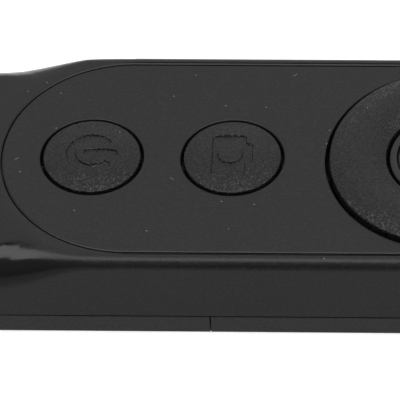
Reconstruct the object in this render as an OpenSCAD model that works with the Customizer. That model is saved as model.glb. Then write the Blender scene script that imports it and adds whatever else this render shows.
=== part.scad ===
// Handheld page turner remote: a long low housing with a flat stadium-shaped land on top,
// ends that fall away from it, two round keys and a rocking ring with a key in its middle.
// +X runs along the housing towards the ring's end, +Z is up, and the origin is the middle
// of the flat underside.

/* [Housing] */
// Overall length of the housing
body_l = 95; // [92:1:110]
// Overall width of the housing
body_w = 34.6; // [30.6:0.5:39.6]
// Height of the land above the underside
body_h = 12.4; // [11.3:0.1:14]
// Wall thickness of the housing
wall = 1.2; // [1:0.05:1.4]
// Radius of the housing's four corners, seen from above
corner_r = 9; // [7:0.5:11]
// Radius of the bowed end faces, seen from above
nose_r = 40; // [34:1:60]
// Edge radius along the straight sides
edge_r = 1.4; // [1.2:0.05:1.5]
// Edge radius on the long sides of the two ends
tail_edge_r = 4.2; // [3.4:0.1:4.6]
// Edge radius at the tips of the two ends
nose_edge_r = 4.2; // [3.6:0.1:4.8]
// Fall of the ends for each unit of length beyond the land
tail_fall = 0.16; // [0.12:0.01:0.18]
// Radius of the edge round the underside
foot_r = 0.3; // [0.2:0.1:0.9]

/* [Tray and battery door] */
// Height of the seam between the upper shell and the tray
seam_z = 2.95; // [2.85:0.05:3.1]
// Width of the visible seams
seam_gap = 0.15; // [0.1:0.05:0.2]
// Floor thickness of the tray
floor_t = 1.4; // [1.2:0.1:1.5]
// Floor thickness of the battery door
door_floor_t = 1.35; // [1.1:0.05:1.4]
// Distance from the ring's centre back to the battery door's edge
door_to_ring = 28.3; // [27:0.1:29]
// Height of the battery shelf's underside
shelf_z = 1.8; // [1.7:0.05:1.9]
// Thickness of the battery shelf
shelf_t = 0.8; // [0.7:0.05:0.85]
// Thickness of the shelf's rails
rail_t = 0.45; // [0.35:0.05:0.5]
// Number of grip grooves under the door
grip_count = 5; // [3:1:7]

/* [Top panel] */
// Width of the land's rim round the inlaid top panel
rim_w = 1.8; // [1.65:0.05:2.2]
// Thickness of the top panel
panel_t = 1; // [0.8:0.05:1.1]
// Groove round the top panel
panel_gap = 0.16; // [0.1:0.02:0.2]
// Thickness of the roof under the panel
roof_t = 1; // [0.8:0.05:1.1]

/* [Round keys] */
// Radius of the two round key caps
key_r = 5.9; // [5.4:0.1:6.1]
// Gap round each key cap
key_gap = 0.4; // [0.3:0.05:0.5]
// Distance between the two round keys
key_pitch = 17; // [16.6:0.1:17.5]
// Distance from the second round key to the ring's centre
key_to_ring = 26; // [25.5:0.1:26.5]
// Distance from the first round key to the panel's end
key_to_end = 10.9; // [9:0.1:12]
// Rise of the key dome from its edge to its crown
key_crown = 0.8; // [0.5:0.05:0.9]
// Height of the key's edge above the panel
key_lift = 0.1; // [0:0.05:0.2]
// Travel of the keys
key_travel = 0.5; // [0.3:0.05:0.6]
// Depth of the engraved signs
sign_depth = 0.15; // [0.1:0.05:0.2]

/* [Ring and middle key] */
// Width of the panel left beside the ring's hole
ring_border = 0.7; // [0.6:0.05:1.5]
// Gap round the rocking ring
ring_gap = 0.5; // [0.4:0.05:0.55]
// Inner radius of the rocking ring
ring_hole_r = 7.4; // [7.2:0.1:7.6]
// Height of the ring's edges above the panel
ring_lift = 0.45; // [0.3:0.05:0.6]
// Rise of the ring's crest above its edges
ring_crown = 0.75; // [0.5:0.05:0.9]
// Rocking angle of the ring each way
ring_tilt = 2; // [1:0.25:2]
// Radius of the middle key's cap
middle_r = 6.05; // [5.8:0.05:6.1]
// Outer radius of the trim ring round the middle key
trim_r = 7; // [6.9:0.05:7.05]

/* [Circuit board and cell] */
// Height between the circuit board and the roof
key_room = 3.8; // [3.75:0.05:3.9]
// Thickness of the circuit board
board_t = 1; // [0.8:0.1:1]
// Diameter of the coin cell
cell_d = 20; // [16:1:20]
// Room for the spring contact between the cell and the board
spring_room = 0.55; // [0.5:0.05:0.8]
// Distance from the housing's end to the cell's centre
cell_in = 19.3; // [19:0.1:22]

/* [Hidden] */
$fn = 96;

// Clearances
over = 1;
fit = 0.1;
key_float = 0.2;
touch_gap = 0.05;

// Outline of the housing
half_w = body_w / 2;
panel_r = half_w - rim_w;
land_l = key_to_ring + key_pitch + key_to_end - panel_r;
land_half = land_l / 2;
land_rim = 1.45;
land_r = panel_r + land_rim;
tip_x = body_l / 2;
wall_steps = 9;
corner_steps = 8;
nose_steps = 3;
edge_steps = 5;
foot_steps = 3;
// Bearings, from the long axis, between which the edge radius grows
fan_start = 76;
fan_end = 48;
rim_share = 0.92;
least_share = 0.001;

// Heights inside the housing
panel_z = body_h - panel_t;
ceiling_z = panel_z - roof_t;
board_top = ceiling_z - key_room;
board_z = board_top - board_t;
tray_top = seam_z - seam_gap;
tail_room = 2.2;
side_room = 0.5;
tail_lining = 2;
tail_ceiling = board_top + tail_room;
side_ceiling = board_top + side_room;
tail_inset = wall + tail_lining;

// Places along the housing
ring_x = land_half;
camera_x = ring_x - key_to_ring;
power_x = camera_x - key_pitch;
door_x = ring_x - door_to_ring;
cell_x = -tip_x + cell_in;

// Keys
dome_h = 4 * key_travel;
dome_top = board_top + dome_h;
plunger_z = dome_top + touch_gap;
plunger_r = 1.5;
key_hole_r = key_r + key_gap;
key_hold = 0.7;
key_flange_r = key_hole_r + key_hold;
key_flange_t = 0.9;
key_flange_z = ceiling_z - key_float - key_flange_t;
key_skin = 1.1;
key_edge_z = body_h + key_lift;
key_ball_r = (key_r * key_r + key_crown * key_crown) / (2 * key_crown);

// Ring
ring_hole_edge = panel_r - ring_border;
ring_r = ring_hole_edge - ring_gap;
ring_mid_r = (ring_r + ring_hole_r) / 2;
ring_half = (ring_r - ring_hole_r) / 2;
ring_edge_z = body_h + ring_lift;
ring_ball_r = (ring_half * ring_half + ring_crown * ring_crown) / (2 * ring_crown);
ring_skin = 1.3;
ring_under_z = ring_edge_z - ring_skin;
lip_z = ceiling_z - touch_gap;
ring_hold = 0.55;
tab_r = ring_hole_edge + ring_hold;
tab_t = 0.6;
tab_float = 0.3;
ring_skirt_z = ceiling_z - tab_t - tab_float - tab_r * sin(ring_tilt);
tab_arc = 20;
ring_plunger_r = 1.4;

// Middle key
middle_flange_r = ring_hole_r + ring_hold;
middle_flange_t = 0.7;
middle_plunger_l = 0.35;
middle_flange_z = plunger_z + middle_plunger_l;
middle_lift = 0.25;
middle_top = body_h + middle_lift;
middle_dish = 0.3;
middle_rim = 0.5;
trim_top = ring_edge_z;
trim_fit = 0.05;

// Rubber parts
mat_t = 0.6;
dome_r = 4;
dome_neck_r = 2.2;
ring_dome_r = 2.6;
ring_dome_neck_r = 1.7;
ring_pad_rim = 0.3;
ring_pad_r = ring_mid_r + ring_dome_r + ring_pad_rim;
ring_pad_hole_r = ring_mid_r - ring_dome_r - ring_pad_rim;

// Posts and screws
post_r = 2;
screw_r = 0.85;
screw_l = 6.4;
shelf_screw_l = 4.4;
head_r = 1.7;
head_t = 1.1;
cup_fit = 0.2;
cup_r = head_r + cup_fit;
cup_seat = 1.7;
cup_wall = 1;
cup_wall_r = cup_r + cup_wall;
post_rise = 0.55;
post_z = seam_z + post_rise;
cup_top = post_z - touch_gap;
shelf_seat = shelf_z + head_t + touch_gap;
bite = 0.04;
side_post_in = 3.6;
side_post_edge = 4.4;
end_post_in = 10.5;
end_post_edge = 9;
shelf_post_in = 4.8;
side_post = [door_x + side_post_in, half_w - side_post_edge];
end_post = [tip_x - end_post_in, half_w - end_post_edge];
shelf_post_x = -tip_x + shelf_post_in;
board_post_r = 1.7;
board_screw_r = 0.7;
board_head_r = 1.4;
board_head_t = 0.7;
board_screw_l = 3.6;
board_post_edge = 4.7;
board_post_gap = 0.5;
board_post = [(power_x + camera_x) / 2, half_w - board_post_edge];
board_end_post_x = ring_x + ring_hole_edge + board_post_r + board_post_gap;

// Lamp
lamp_in = 5.6;
lamp_x = tip_x - lamp_in;
pipe_r = 0.9;
lamp_w = 1.6;
lamp_d = 0.8;
lamp_t = 0.7;

// Board
board_room = 1.2;
board_end = 1.6;
board_start = 8.4;
board_inset = wall + board_room;
board_end_x = lamp_x + board_end;
board_start_x = -tip_x + board_start;
pad_t = 0.05;

// Cell
cell_r = cell_d / 2;
cell_z = shelf_z + touch_gap;
cell_top = board_z - spring_room;
holder_fit = 0.2;
holder_t = 1.1;
holder_r = cell_r + holder_fit + holder_t;
holder_z = shelf_z + shelf_t + fit;
clip_t = 0.25;
clip_w = 5;

// Tray and door
lip_t = 0.7;
lip_h = 0.8;
lip_top = seam_z + lip_h;
rail_room = 0.4;
rail_w = 1;
rib_hold = 0.5;
shelf_room = 1.6;
rail_out = half_w - wall - rail_room;
shelf_half = rail_out - rail_w;
rib_in = rail_out - rib_hold;
rib_start_x = door_x - wall;
rib_end_x = -tip_x + corner_r + 2 * wall;
shelf_end_x = -tip_x + wall + shelf_room;
grip_w = 14;
grip_t = 0.8;
grip_pitch = 1.8;
grip_depth = 0.3;
grip_in = 9;
grip_x = -tip_x + grip_in;

// Signs on the two round keys
power_sign_r = 3.05;
sign_line = 1.05;
power_gap_angle = 42;
power_bar_start_share = -0.3;
power_bar_end_share = 1.03;
camera_body_h = 4;
camera_body_w = 6.35;
camera_body = [-0.4, -0.1];
camera_hump_h = 0.85;
camera_hump_w = 3.05;
camera_hump_y = 0.15;
camera_lens = [-0.25, -0.1];
camera_lens_r = 1.5;
camera_round = 0.4;

housing_colour = [0.16, 0.16, 0.17];
panel_colour = [0.19, 0.19, 0.2];
key_colour = [0.13, 0.13, 0.14];
trim_colour = [0.24, 0.26, 0.25];
rubber_colour = [0.3, 0.31, 0.33];
board_colour = [0.05, 0.3, 0.14];
steel_colour = [0.75, 0.75, 0.74];
gold_colour = [0.85, 0.68, 0.3];

function clamped(v) = min(max(v, 0), 1);
function eased(v) = let(c = clamped(v)) c * c * (3 - 2 * c);

// One quarter of the plan outline, set in by t, from the land's end round to the tip
function plan_quarter(t) =
    let(
        hw = half_w - t,
        rc = corner_r - t,
        rn = nose_r - t,
        nx = tip_x - nose_r,
        cx = nx + sqrt(pow(rn - rc, 2) - pow(hw - rc, 2)),
        turn = atan2(hw - rc, cx - nx)
    )
    concat(
        [for (i = [0:wall_steps]) [land_half + (cx - land_half) * i / wall_steps, hw]],
        [for (i = [1:corner_steps])
            let(a = 90 - (90 - turn) * i / corner_steps) [cx + rc * cos(a), hw - rc + rc * sin(a)]],
        [for (i = [1:nose_steps])
            let(a = turn * (1 - i / nose_steps)) [nx + rn * cos(a), rn * sin(a)]]
    );

// The whole plan outline, counter-clockwise from the tip at +X
function plan_outline(t) =
    let(q = plan_quarter(t), last = len(q) - 1)
    concat(
        [for (i = [last:-1:0]) q[i]],
        [for (i = [0:last]) [-q[i].x, q[i].y]],
        [for (i = [last - 1:-1:0]) [-q[i].x, -q[i].y]],
        [for (i = [0:last - 1]) [q[i].x, -q[i].y]]
    );

// Centre of the land's round end on the same side as p
function land_centre(p) = [p.x > 0 ? land_half : -land_half, 0];
function beyond_land(p) = abs(p.x) > land_half;

// The land's rim, straight inwards from a point of the outline
function rim_point(p) =
    let(side = half_w - edge_r, v = p - land_centre(p), u = v / norm(v))
    beyond_land(p)
        ? land_centre(p) + u * min(land_r, side / max(abs(u.y), least_share))
        : [p.x, p.y > 0 ? side : -side];

// Edge radius at a point of the outline
function edge_at(p) =
    let(v = p - land_centre(p), a = atan2(abs(v.y), abs(v.x)))
    beyond_land(p)
        ? edge_r + (tail_edge_r - edge_r) * eased((fan_start - a) / (fan_start - fan_end))
            + (nose_edge_r - tail_edge_r) * eased((fan_end - a) / fan_end)
        : edge_r;

// How far the top has fallen where it would meet the wall
function fall_at(p) =
    beyond_land(p) ? tail_fall * max(norm(p - land_centre(p)) - land_r, 0) : 0;

// One column of points up the skin: the wall, the rounded edge and the land's rim
function skin_column(p) =
    let(
        q = rim_point(p),
        run = norm(p - q),
        u = (p - q) / run,
        r = edge_at(p),
        reach = min(r / max(abs(u.x), abs(u.y)), rim_share * run),
        fall = fall_at(p),
        low = body_h - fall - r,
        corner = body_h - fall,
        high = corner + fall * reach / run
    )
    concat(
        [[p.x, p.y, seam_z]],
        [for (j = [0:edge_steps])
            let(
                s = j / edge_steps,
                a = pow(1 - s, 2),
                b = 2 * s * (1 - s) * sqrt(1 / 2),
                c = s * s,
                d = c * reach / (a + b + c),
                z = (a * low + b * corner + c * high) / (a + b + c)
            )
            [p.x - u.x * d, p.y - u.y * d, z]],
        [[q.x, q.y, body_h]]
    );

// A solid through columns of points that stand side by side round it
module skin(columns) {
    n = len(columns);
    m = len(columns[0]);
    points = [for (column = columns) each column];
    sides = [for (i = [0:n - 1]) for (j = [0:m - 2])
        let(a = i * m + j, b = (i + 1) % n * m + j)
        each [[a, a + 1, b + 1], [a, b + 1, b]]];
    polyhedron(
        points,
        concat(
            sides,
            [[for (i = [0:n - 1]) i * m]],
            [[for (i = [n - 1:-1:0]) i * m + m - 1]]
        )
    );
}

module upper_form() {
    skin([for (p = plan_outline(0)) skin_column(p)]);
}

// The tray's outside, with its rounded foot
module tray_form() {
    rows = concat(
        [for (j = [0:foot_steps])
            let(a = 90 * j / foot_steps) [foot_r * (1 - sin(a)), foot_r * (1 - cos(a))]],
        [[0, tray_top]]
    );
    plans = [for (row = rows) plan_outline(row[0])];
    skin([for (i = [0:len(plans[0]) - 1])
        [for (j = [0:len(rows) - 1]) [plans[j][i].x, plans[j][i].y, rows[j][1]]]]);
}

module plan_block(t, z0, z1) {
    translate([0, 0, z0])
        linear_extrude(z1 - z0)
            polygon(plan_outline(t));
}

module stadium(r, half) {
    square([2 * half, 2 * r], center = true);
    for (side = [-1, 1])
        translate([side * half, 0])
            circle(r);
}

module stadium_block(r, z0, z1) {
    translate([0, 0, z0])
        linear_extrude(z1 - z0)
            stadium(r, land_half);
}

module rod(x, y, r, z0, z1) {
    translate([x, y, z0])
        cylinder(h = z1 - z0, r = r);
}

// Everything on one side of the battery door's edge, with half the seam left off
module door_side(x0, x1) {
    translate([x0, -body_w, -over])
        cube([x1 - x0, 2 * body_w, body_h + 2 * over]);
}

module four_posts() {
    for (side = [-1, 1]) {
        translate([side_post.x, side * side_post.y, 0])
            children();
        translate([end_post.x, side * end_post.y, 0])
            children();
    }
}

module key_holes(z0, z1) {
    for (x = [power_x, camera_x])
        rod(x, 0, key_hole_r, z0, z1);
    rod(ring_x, 0, ring_hole_edge, z0, z1);
}

// Upper shell: the wall, the falling ends and the land's rim round the panel's recess
module upper_shell() {
    color(housing_colour)
        difference() {
            union() {
                difference() {
                    upper_form();
                    plan_block(wall, seam_z - over, side_ceiling);
                    plan_block(tail_inset, seam_z - over, tail_ceiling);
                    stadium_block(half_w - wall, seam_z - over, ceiling_z);
                    stadium_block(panel_r + panel_gap, panel_z, body_h + over);
                    key_holes(seam_z, body_h + over);
                    rod(lamp_x, 0, pipe_r + touch_gap, seam_z, body_h + over);
                }
                for (side = [-1, 1])
                    rod(side_post.x, side * side_post.y, post_r, post_z, ceiling_z + roof_t / 2);
                for (side = [-1, 1])
                    rod(end_post.x, side * end_post.y, post_r, post_z, tail_ceiling + roof_t / 2);
                rod(shelf_post_x, 0, post_r, post_z, tail_ceiling + roof_t / 2);
                for (side = [-1, 1])
                    rod(board_post.x, side * board_post.y, board_post_r, board_top,
                        ceiling_z + roof_t / 2);
                rod(board_end_post_x, 0, board_post_r, board_top, ceiling_z + roof_t / 2);
            }
            four_posts()
                rod(0, 0, screw_r + bite, post_z - over, cup_seat + screw_l + fit);
            rod(shelf_post_x, 0, screw_r + bite, post_z - over, shelf_seat + shelf_screw_l + fit);
            for (side = [-1, 1])
                rod(board_post.x, side * board_post.y, board_screw_r + bite, board_top - over,
                    board_z + board_screw_l + fit);
            rod(board_end_post_x, 0, board_screw_r + bite, board_top - over,
                board_z + board_screw_l + fit);
        }
}

// Top panel: a flush inlay with the holes of the keys
module top_panel() {
    color(panel_colour)
        difference() {
            stadium_block(panel_r, panel_z, body_h);
            key_holes(panel_z - over, body_h + over);
        }
}

// Lower shell: the tray under the keys, the battery shelf behind it and the shelf's rails
module lower_shell() {
    color(housing_colour)
        difference() {
            union() {
                difference() {
                    intersection() {
                        tray_form();
                        door_side(door_x + seam_gap / 2, tip_x + over);
                    }
                    intersection() {
                        plan_block(wall + fit + lip_t, floor_t, seam_z + over);
                        door_side(door_x + seam_gap / 2 + wall, tip_x + over);
                    }
                }
                intersection() {
                    difference() {
                        plan_block(wall + fit, floor_t, lip_top);
                        plan_block(wall + fit + lip_t, floor_t - over, lip_top + over);
                    }
                    door_side(door_x + seam_gap / 2, tip_x + over);
                }
                intersection() {
                    plan_block(wall + 2 * fit, shelf_z, shelf_z + shelf_t);
                    translate([shelf_end_x, -shelf_half, shelf_z])
                        cube([door_x + wall - shelf_end_x, 2 * shelf_half, shelf_t]);
                }
                intersection() {
                    plan_block(wall + 2 * fit, shelf_z, shelf_z + shelf_t);
                    translate([rib_end_x, -rail_out, shelf_z])
                        cube([door_x + wall - rib_end_x, 2 * rail_out, rail_t]);
                }
                four_posts()
                    rod(0, 0, cup_wall_r, floor_t / 2, cup_top);
                rod(shelf_post_x, 0, cup_wall_r, shelf_z, cup_top);
            }
            rod(cell_x, 0, cell_r + holder_fit * 2, shelf_z - over, shelf_z + shelf_t + over);
            four_posts()
                rod(0, 0, cup_r, -over, cup_seat);
            four_posts()
                rod(0, 0, screw_r + fit, 0, cup_top + over);
            rod(shelf_post_x, 0, cup_r, shelf_z - over, shelf_seat);
            rod(shelf_post_x, 0, screw_r + fit, shelf_z, cup_top + over);
        }
}

// Battery door: the end of the tray, which slides off along its ribs
module battery_door() {
    color(housing_colour)
        difference() {
            union() {
                difference() {
                    intersection() {
                        tray_form();
                        door_side(-tip_x - over, door_x - seam_gap / 2);
                    }
                    plan_block(wall, door_floor_t, seam_z + over);
                }
                for (side = [-1, 1])
                    translate([rib_end_x, side > 0 ? rib_in : -half_w + wall / 2,
                        shelf_z + rail_t + fit])
                        cube([rib_start_x - rib_end_x, half_w - wall / 2 - rib_in,
                            tray_top - shelf_z - rail_t - 2 * fit]);
            }
            for (i = [0:grip_count - 1])
                translate([grip_x + i * grip_pitch, -grip_w / 2, -over])
                    cube([grip_t, grip_w, grip_depth + over]);
        }
}

// A round key cap with a domed top, a flange and a plunger; its children are its sign
module key_cap(x) {
    ball_z = key_edge_z + key_crown - key_ball_r;
    color(key_colour)
        translate([x, 0, 0])
            difference() {
                union() {
                    difference() {
                        intersection() {
                            rod(0, 0, key_r, key_flange_z, body_h + over);
                            translate([0, 0, ball_z])
                                sphere(key_ball_r);
                        }
                        rod(0, 0, key_r - key_skin, key_flange_z - over, key_edge_z - key_skin);
                    }
                    difference() {
                        rod(0, 0, key_flange_r, key_flange_z, key_flange_z + key_flange_t);
                        rod(0, 0, key_r - key_skin, key_flange_z - over, ceiling_z);
                    }
                    rod(0, 0, plunger_r, plunger_z, key_edge_z - key_skin / 2);
                }
                difference() {
                    translate([0, 0, body_h - over])
                        linear_extrude(3 * over)
                            children();
                    translate([0, 0, ball_z])
                        sphere(key_ball_r - sign_depth);
                }
            }
}

// An open ring with a bar in its gap, whose top is towards +X
module power_sign() {
    reach = 2 * power_sign_r;
    difference() {
        circle(power_sign_r);
        circle(power_sign_r - sign_line);
        polygon([
            [0, 0],
            reach * [cos(power_gap_angle), sin(power_gap_angle)],
            [reach, 0],
            reach * [cos(power_gap_angle), -sin(power_gap_angle)],
        ]);
    }
    translate([power_sign_r * power_bar_start_share, -sign_line / 2])
        square([power_sign_r * (power_bar_end_share - power_bar_start_share), sign_line]);
}

module rounded_plate(h, w, r) {
    translate([-h / 2 + r, -w / 2])
        square([h - 2 * r, w]);
    translate([-h / 2, -w / 2 + r])
        square([h, w - 2 * r]);
    for (sx = [-1, 1])
        for (sy = [-1, 1])
            translate([sx * (h / 2 - r), sy * (w / 2 - r)])
                circle(r);
}

// A camera with its hump, whose top is towards +X, less its lens, which stays level with the key
module camera_sign() {
    difference() {
        union() {
            translate(camera_body)
                rounded_plate(camera_body_h, camera_body_w, camera_round);
            translate([camera_body.x + camera_body_h / 2 - camera_round,
                camera_hump_y - camera_hump_w / 2])
                square([camera_hump_h + camera_round, camera_hump_w]);
        }
        translate(camera_lens)
            circle(camera_lens_r);
    }
}

module power_button() {
    key_cap(power_x)
        power_sign();
}

module camera_button() {
    key_cap(camera_x)
        camera_sign();
}

module ring_profile() {
    difference() {
        intersection() {
            translate([ring_hole_r, ring_skirt_z])
                square([ring_r - ring_hole_r, body_h]);
            translate([ring_mid_r, ring_edge_z + ring_crown - ring_ball_r])
                circle(ring_ball_r);
        }
        translate([ring_hole_r + ring_skin, ring_skirt_z - over])
            square([ring_r - ring_hole_r - 2 * ring_skin, ring_under_z - ring_skirt_z + over]);
        translate([ring_hole_r - over, ring_skirt_z - over])
            square([ring_skin + 2 * over, lip_z - ring_skirt_z + over]);
    }
}

// Rocking ring: a crowned ring with four plungers, held down by four tabs
module dpad_ring() {
    color(key_colour)
        translate([ring_x, 0, 0]) {
            rotate_extrude()
                ring_profile();
            for (i = [0:3])
                rotate(90 * i)
                    rod(ring_mid_r, 0, ring_plunger_r, plunger_z, ring_under_z + ring_skin / 2);
            for (i = [0:3])
                rotate(45 + 90 * i)
                    translate([0, 0, ring_skirt_z])
                        rotate(-tab_arc / 2)
                            rotate_extrude(angle = tab_arc)
                                translate([ring_r - ring_skin / 2, 0])
                                    square([tab_r - ring_r + ring_skin / 2, tab_t]);
        }
}

// Middle key: a dished cap on a flange under the ring's lip
module centre_button() {
    dish_half = middle_r - middle_rim;
    dish_r = (dish_half * dish_half + middle_dish * middle_dish) / (2 * middle_dish);
    color(key_colour)
        translate([ring_x, 0, 0])
            difference() {
                union() {
                    rod(0, 0, middle_r, middle_flange_z, middle_top);
                    rod(0, 0, middle_flange_r, middle_flange_z, middle_flange_z + middle_flange_t);
                    rod(0, 0, plunger_r, plunger_z, middle_top - key_skin);
                }
                difference() {
                    rod(0, 0, middle_r - key_skin, middle_flange_z - over,
                        middle_top - middle_dish - key_skin);
                    rod(0, 0, plunger_r, middle_flange_z - 2 * over, middle_top);
                }
                translate([0, 0, middle_top - middle_dish + dish_r])
                    sphere(dish_r);
            }
}

// Glossy ring pressed over the middle key
module trim_ring() {
    trim_w = trim_r - middle_r - trim_fit;
    color(trim_colour)
        translate([ring_x, 0, 0])
            rotate_extrude()
                translate([middle_r + trim_fit, 0]) {
                    translate([0, middle_flange_z + middle_flange_t])
                        square([trim_w,
                            trim_top - trim_w / 2 - middle_flange_z - middle_flange_t]);
                    translate([trim_w / 2, trim_top - trim_w / 2])
                        circle(trim_w / 2);
                }
}

// A hollow rubber dome that buckles under a plunger
module rubber_dome(x, y, r, neck_r) {
    translate([x, y, board_top])
        difference() {
            union() {
                cylinder(h = mat_t, r = r);
                translate([0, 0, mat_t])
                    cylinder(h = dome_h - mat_t, r1 = r - mat_t, r2 = neck_r);
            }
            translate([0, 0, -over])
                cylinder(h = over + dome_h - 2 * mat_t, r = neck_r - mat_t / 2);
        }
}

module power_dome() {
    color(rubber_colour)
        rubber_dome(power_x, 0, dome_r, dome_neck_r);
}

module camera_dome() {
    color(rubber_colour)
        rubber_dome(camera_x, 0, dome_r, dome_neck_r);
}

module centre_dome() {
    color(rubber_colour)
        rubber_dome(ring_x, 0, dome_r, dome_neck_r);
}

// Rubber pad under the rocking ring, with a dome under each plunger
module dpad_rubber() {
    color(rubber_colour)
        difference() {
            union() {
                difference() {
                    rod(ring_x, 0, ring_pad_r, board_top, board_top + mat_t);
                    rod(ring_x, 0, ring_pad_hole_r, board_top - over, board_top + mat_t + over);
                }
                for (i = [0:3])
                    translate([ring_x, 0, board_top + mat_t])
                        rotate(90 * i)
                            translate([ring_mid_r, 0, 0])
                                cylinder(h = dome_h - mat_t, r1 = ring_dome_r - mat_t,
                                    r2 = ring_dome_neck_r);
            }
            for (i = [0:3])
                translate([ring_x, 0, board_top - over])
                    rotate(90 * i)
                        translate([ring_mid_r, 0, 0])
                            cylinder(h = over + dome_h - 2 * mat_t,
                                r = ring_dome_neck_r - mat_t / 2);
        }
}

// Rubber mat between the two round keys' domes
module keypad_mat() {
    mat_end_x = ring_x - ring_pad_r - 3 * fit;
    mat_start_x = power_x - key_flange_r;
    mat_half = key_flange_r;
    color(rubber_colour)
        difference() {
            translate([mat_start_x, -mat_half, board_top])
                cube([mat_end_x - mat_start_x, 2 * mat_half, mat_t]);
            rod(ring_x, 0, ring_pad_r + 3 * fit, board_top - over, board_top + mat_t + over);
            for (x = [power_x, camera_x])
                rod(x, 0, dome_r + fit, board_top - over, board_top + mat_t + over);
        }
}

module board_outline_block(z0, z1) {
    intersection() {
        plan_block(board_inset, z0, z1);
        translate([board_start_x, -half_w, z0])
            cube([board_end_x - board_start_x, body_w, z1 - z0]);
    }
}

// Circuit board, notched round the housing's posts
module circuit_board() {
    color(board_colour)
        difference() {
            board_outline_block(board_z, board_top);
            four_posts()
                rod(0, 0, post_r + 3 * fit, board_z - over, board_top + over);
            for (side = [-1, 1])
                rod(board_post.x, side * board_post.y, board_screw_r + fit, board_z - over,
                    board_top + over);
            rod(board_end_post_x, 0, board_screw_r + fit, board_z - over, board_top + over);
        }
}

// Gold contacts under the domes, each in two halves
module contact_pads() {
    pad_r = dome_neck_r - mat_t;
    ring_pad = ring_dome_neck_r - mat_t;
    slit = fit;
    color(gold_colour)
        for (spot = [
            [power_x, 0, pad_r],
            [camera_x, 0, pad_r],
            [ring_x, 0, pad_r],
            [ring_x + ring_mid_r, 0, ring_pad],
            [ring_x - ring_mid_r, 0, ring_pad],
            [ring_x, ring_mid_r, ring_pad],
            [ring_x, -ring_mid_r, ring_pad],
        ])
            difference() {
                rod(spot[0], spot[1], spot[2], board_top, board_top + pad_t);
                translate([spot[0] - slit / 2, spot[1] - body_w / 2, board_top - over])
                    cube([slit, body_w, over + 2 * pad_t]);
            }
}

// Radio module under the board, with its can, crystal and antenna
radio_l = 15;
radio_w = 11;
radio_t = 0.6;
radio_back = 6;
radio_x = ring_x - radio_back;
can_t = 1.2;
can_edge = 0.8;

module radio_module() {
    color(board_colour)
        translate([radio_x - radio_l / 2, -radio_w / 2, board_z - radio_t])
            cube([radio_l, radio_w, radio_t]);
}

module shield_can() {
    color(steel_colour)
        translate([radio_x - radio_l / 2 + can_edge, -radio_w / 2 + can_edge,
            board_z - radio_t - can_t])
            cube([radio_l - 2 * can_edge, radio_w - 2 * can_edge, can_t]);
}

crystal_l = 3.2;
crystal_w = 2.5;
crystal_t = 0.8;

module crystal() {
    color(steel_colour)
        translate([radio_x + radio_l / 2 + crystal_w, -crystal_l / 2, board_z - crystal_t])
            cube([crystal_w, crystal_l, crystal_t]);
}

antenna_l = 7;
antenna_w = 2;
antenna_t = 1;

module antenna() {
    color([0.85, 0.84, 0.8])
        translate([board_end_post_x - 4 * antenna_w, half_w - board_inset - 2 * antenna_w,
            board_z - antenna_t])
            cube([antenna_l, antenna_w, antenna_t]);
}

chip_l = 1.6;
chip_w = 0.8;
chip_t = 0.6;
chip_pitch = 2.4;
chip_count = 6;

// Two rows of resistors and capacitors beside the radio module
module chip_parts() {
    color([0.55, 0.45, 0.3])
        for (side = [-1, 1])
            for (i = [0:chip_count - 1])
                translate([radio_x + (i - (chip_count - 1) / 2) * chip_pitch - chip_w / 2,
                    side * (radio_w / 2 + chip_l) - chip_l / 2, board_z - chip_t])
                    cube([chip_w, chip_l, chip_t]);
}

module indicator_led() {
    color([0.9, 0.9, 0.8])
        translate([lamp_x - lamp_d / 2, -lamp_w / 2, board_top])
            cube([lamp_d, lamp_w, lamp_t]);
}

// Clear rod that carries the lamp's light up to the housing's end
module light_pipe() {
    pipe_foot = 0.5;
    pipe_fall = tail_fall * (lamp_x + pipe_r - land_half - land_r);
    color([0.8, 0.85, 0.85])
        union() {
            rod(lamp_x, 0, pipe_r, board_top + lamp_t + touch_gap, body_h - pipe_fall);
            rod(lamp_x, 0, pipe_r + pipe_foot, board_top + lamp_t + touch_gap,
                tail_ceiling - touch_gap);
        }
}

module coin_cell() {
    step = 0.5;
    color(steel_colour)
        union() {
            rod(cell_x, 0, cell_r, cell_z, cell_top - step);
            rod(cell_x, 0, cell_r - step * 2, cell_top - 2 * step, cell_top);
        }
}

// Plastic ring under the board that holds the cell, notched for the clip
module cell_holder() {
    color([0.12, 0.12, 0.12])
        difference() {
            rod(cell_x, 0, holder_r, holder_z, board_z);
            rod(cell_x, 0, cell_r + holder_fit, holder_z - over, board_z + over);
            translate([cell_x + cell_r - holder_t, -clip_w / 2 - fit, holder_z - over])
                cube([holder_r - cell_r + 2 * holder_t, clip_w + 2 * fit,
                    board_z - holder_z + 2 * over]);
        }
}

// Spring contact that rests on the cell's side, with a foot on the board
module positive_clip() {
    clip_x = cell_x + cell_r + touch_gap;
    clip_foot = 2.2;
    color(steel_colour)
        union() {
            translate([clip_x, -clip_w / 2, holder_z])
                cube([clip_t, clip_w, board_z - holder_z]);
            translate([clip_x, -clip_w / 2, board_z - clip_t])
                cube([clip_foot, clip_w, clip_t]);
        }
}

// Leaf contact between the board and the cell's top
module negative_spring() {
    leaf_l = 10;
    leaf_w = 3;
    leaf_foot = 2.5;
    color(gold_colour)
        union() {
            translate([cell_x - leaf_l / 2, -leaf_w / 2, board_z - clip_t])
                cube([leaf_l, leaf_w, clip_t]);
            translate([cell_x - leaf_foot / 2, -leaf_w / 2, cell_top + touch_gap])
                cube([leaf_foot, leaf_w, board_z - clip_t / 2 - cell_top - touch_gap]);
        }
}

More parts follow.
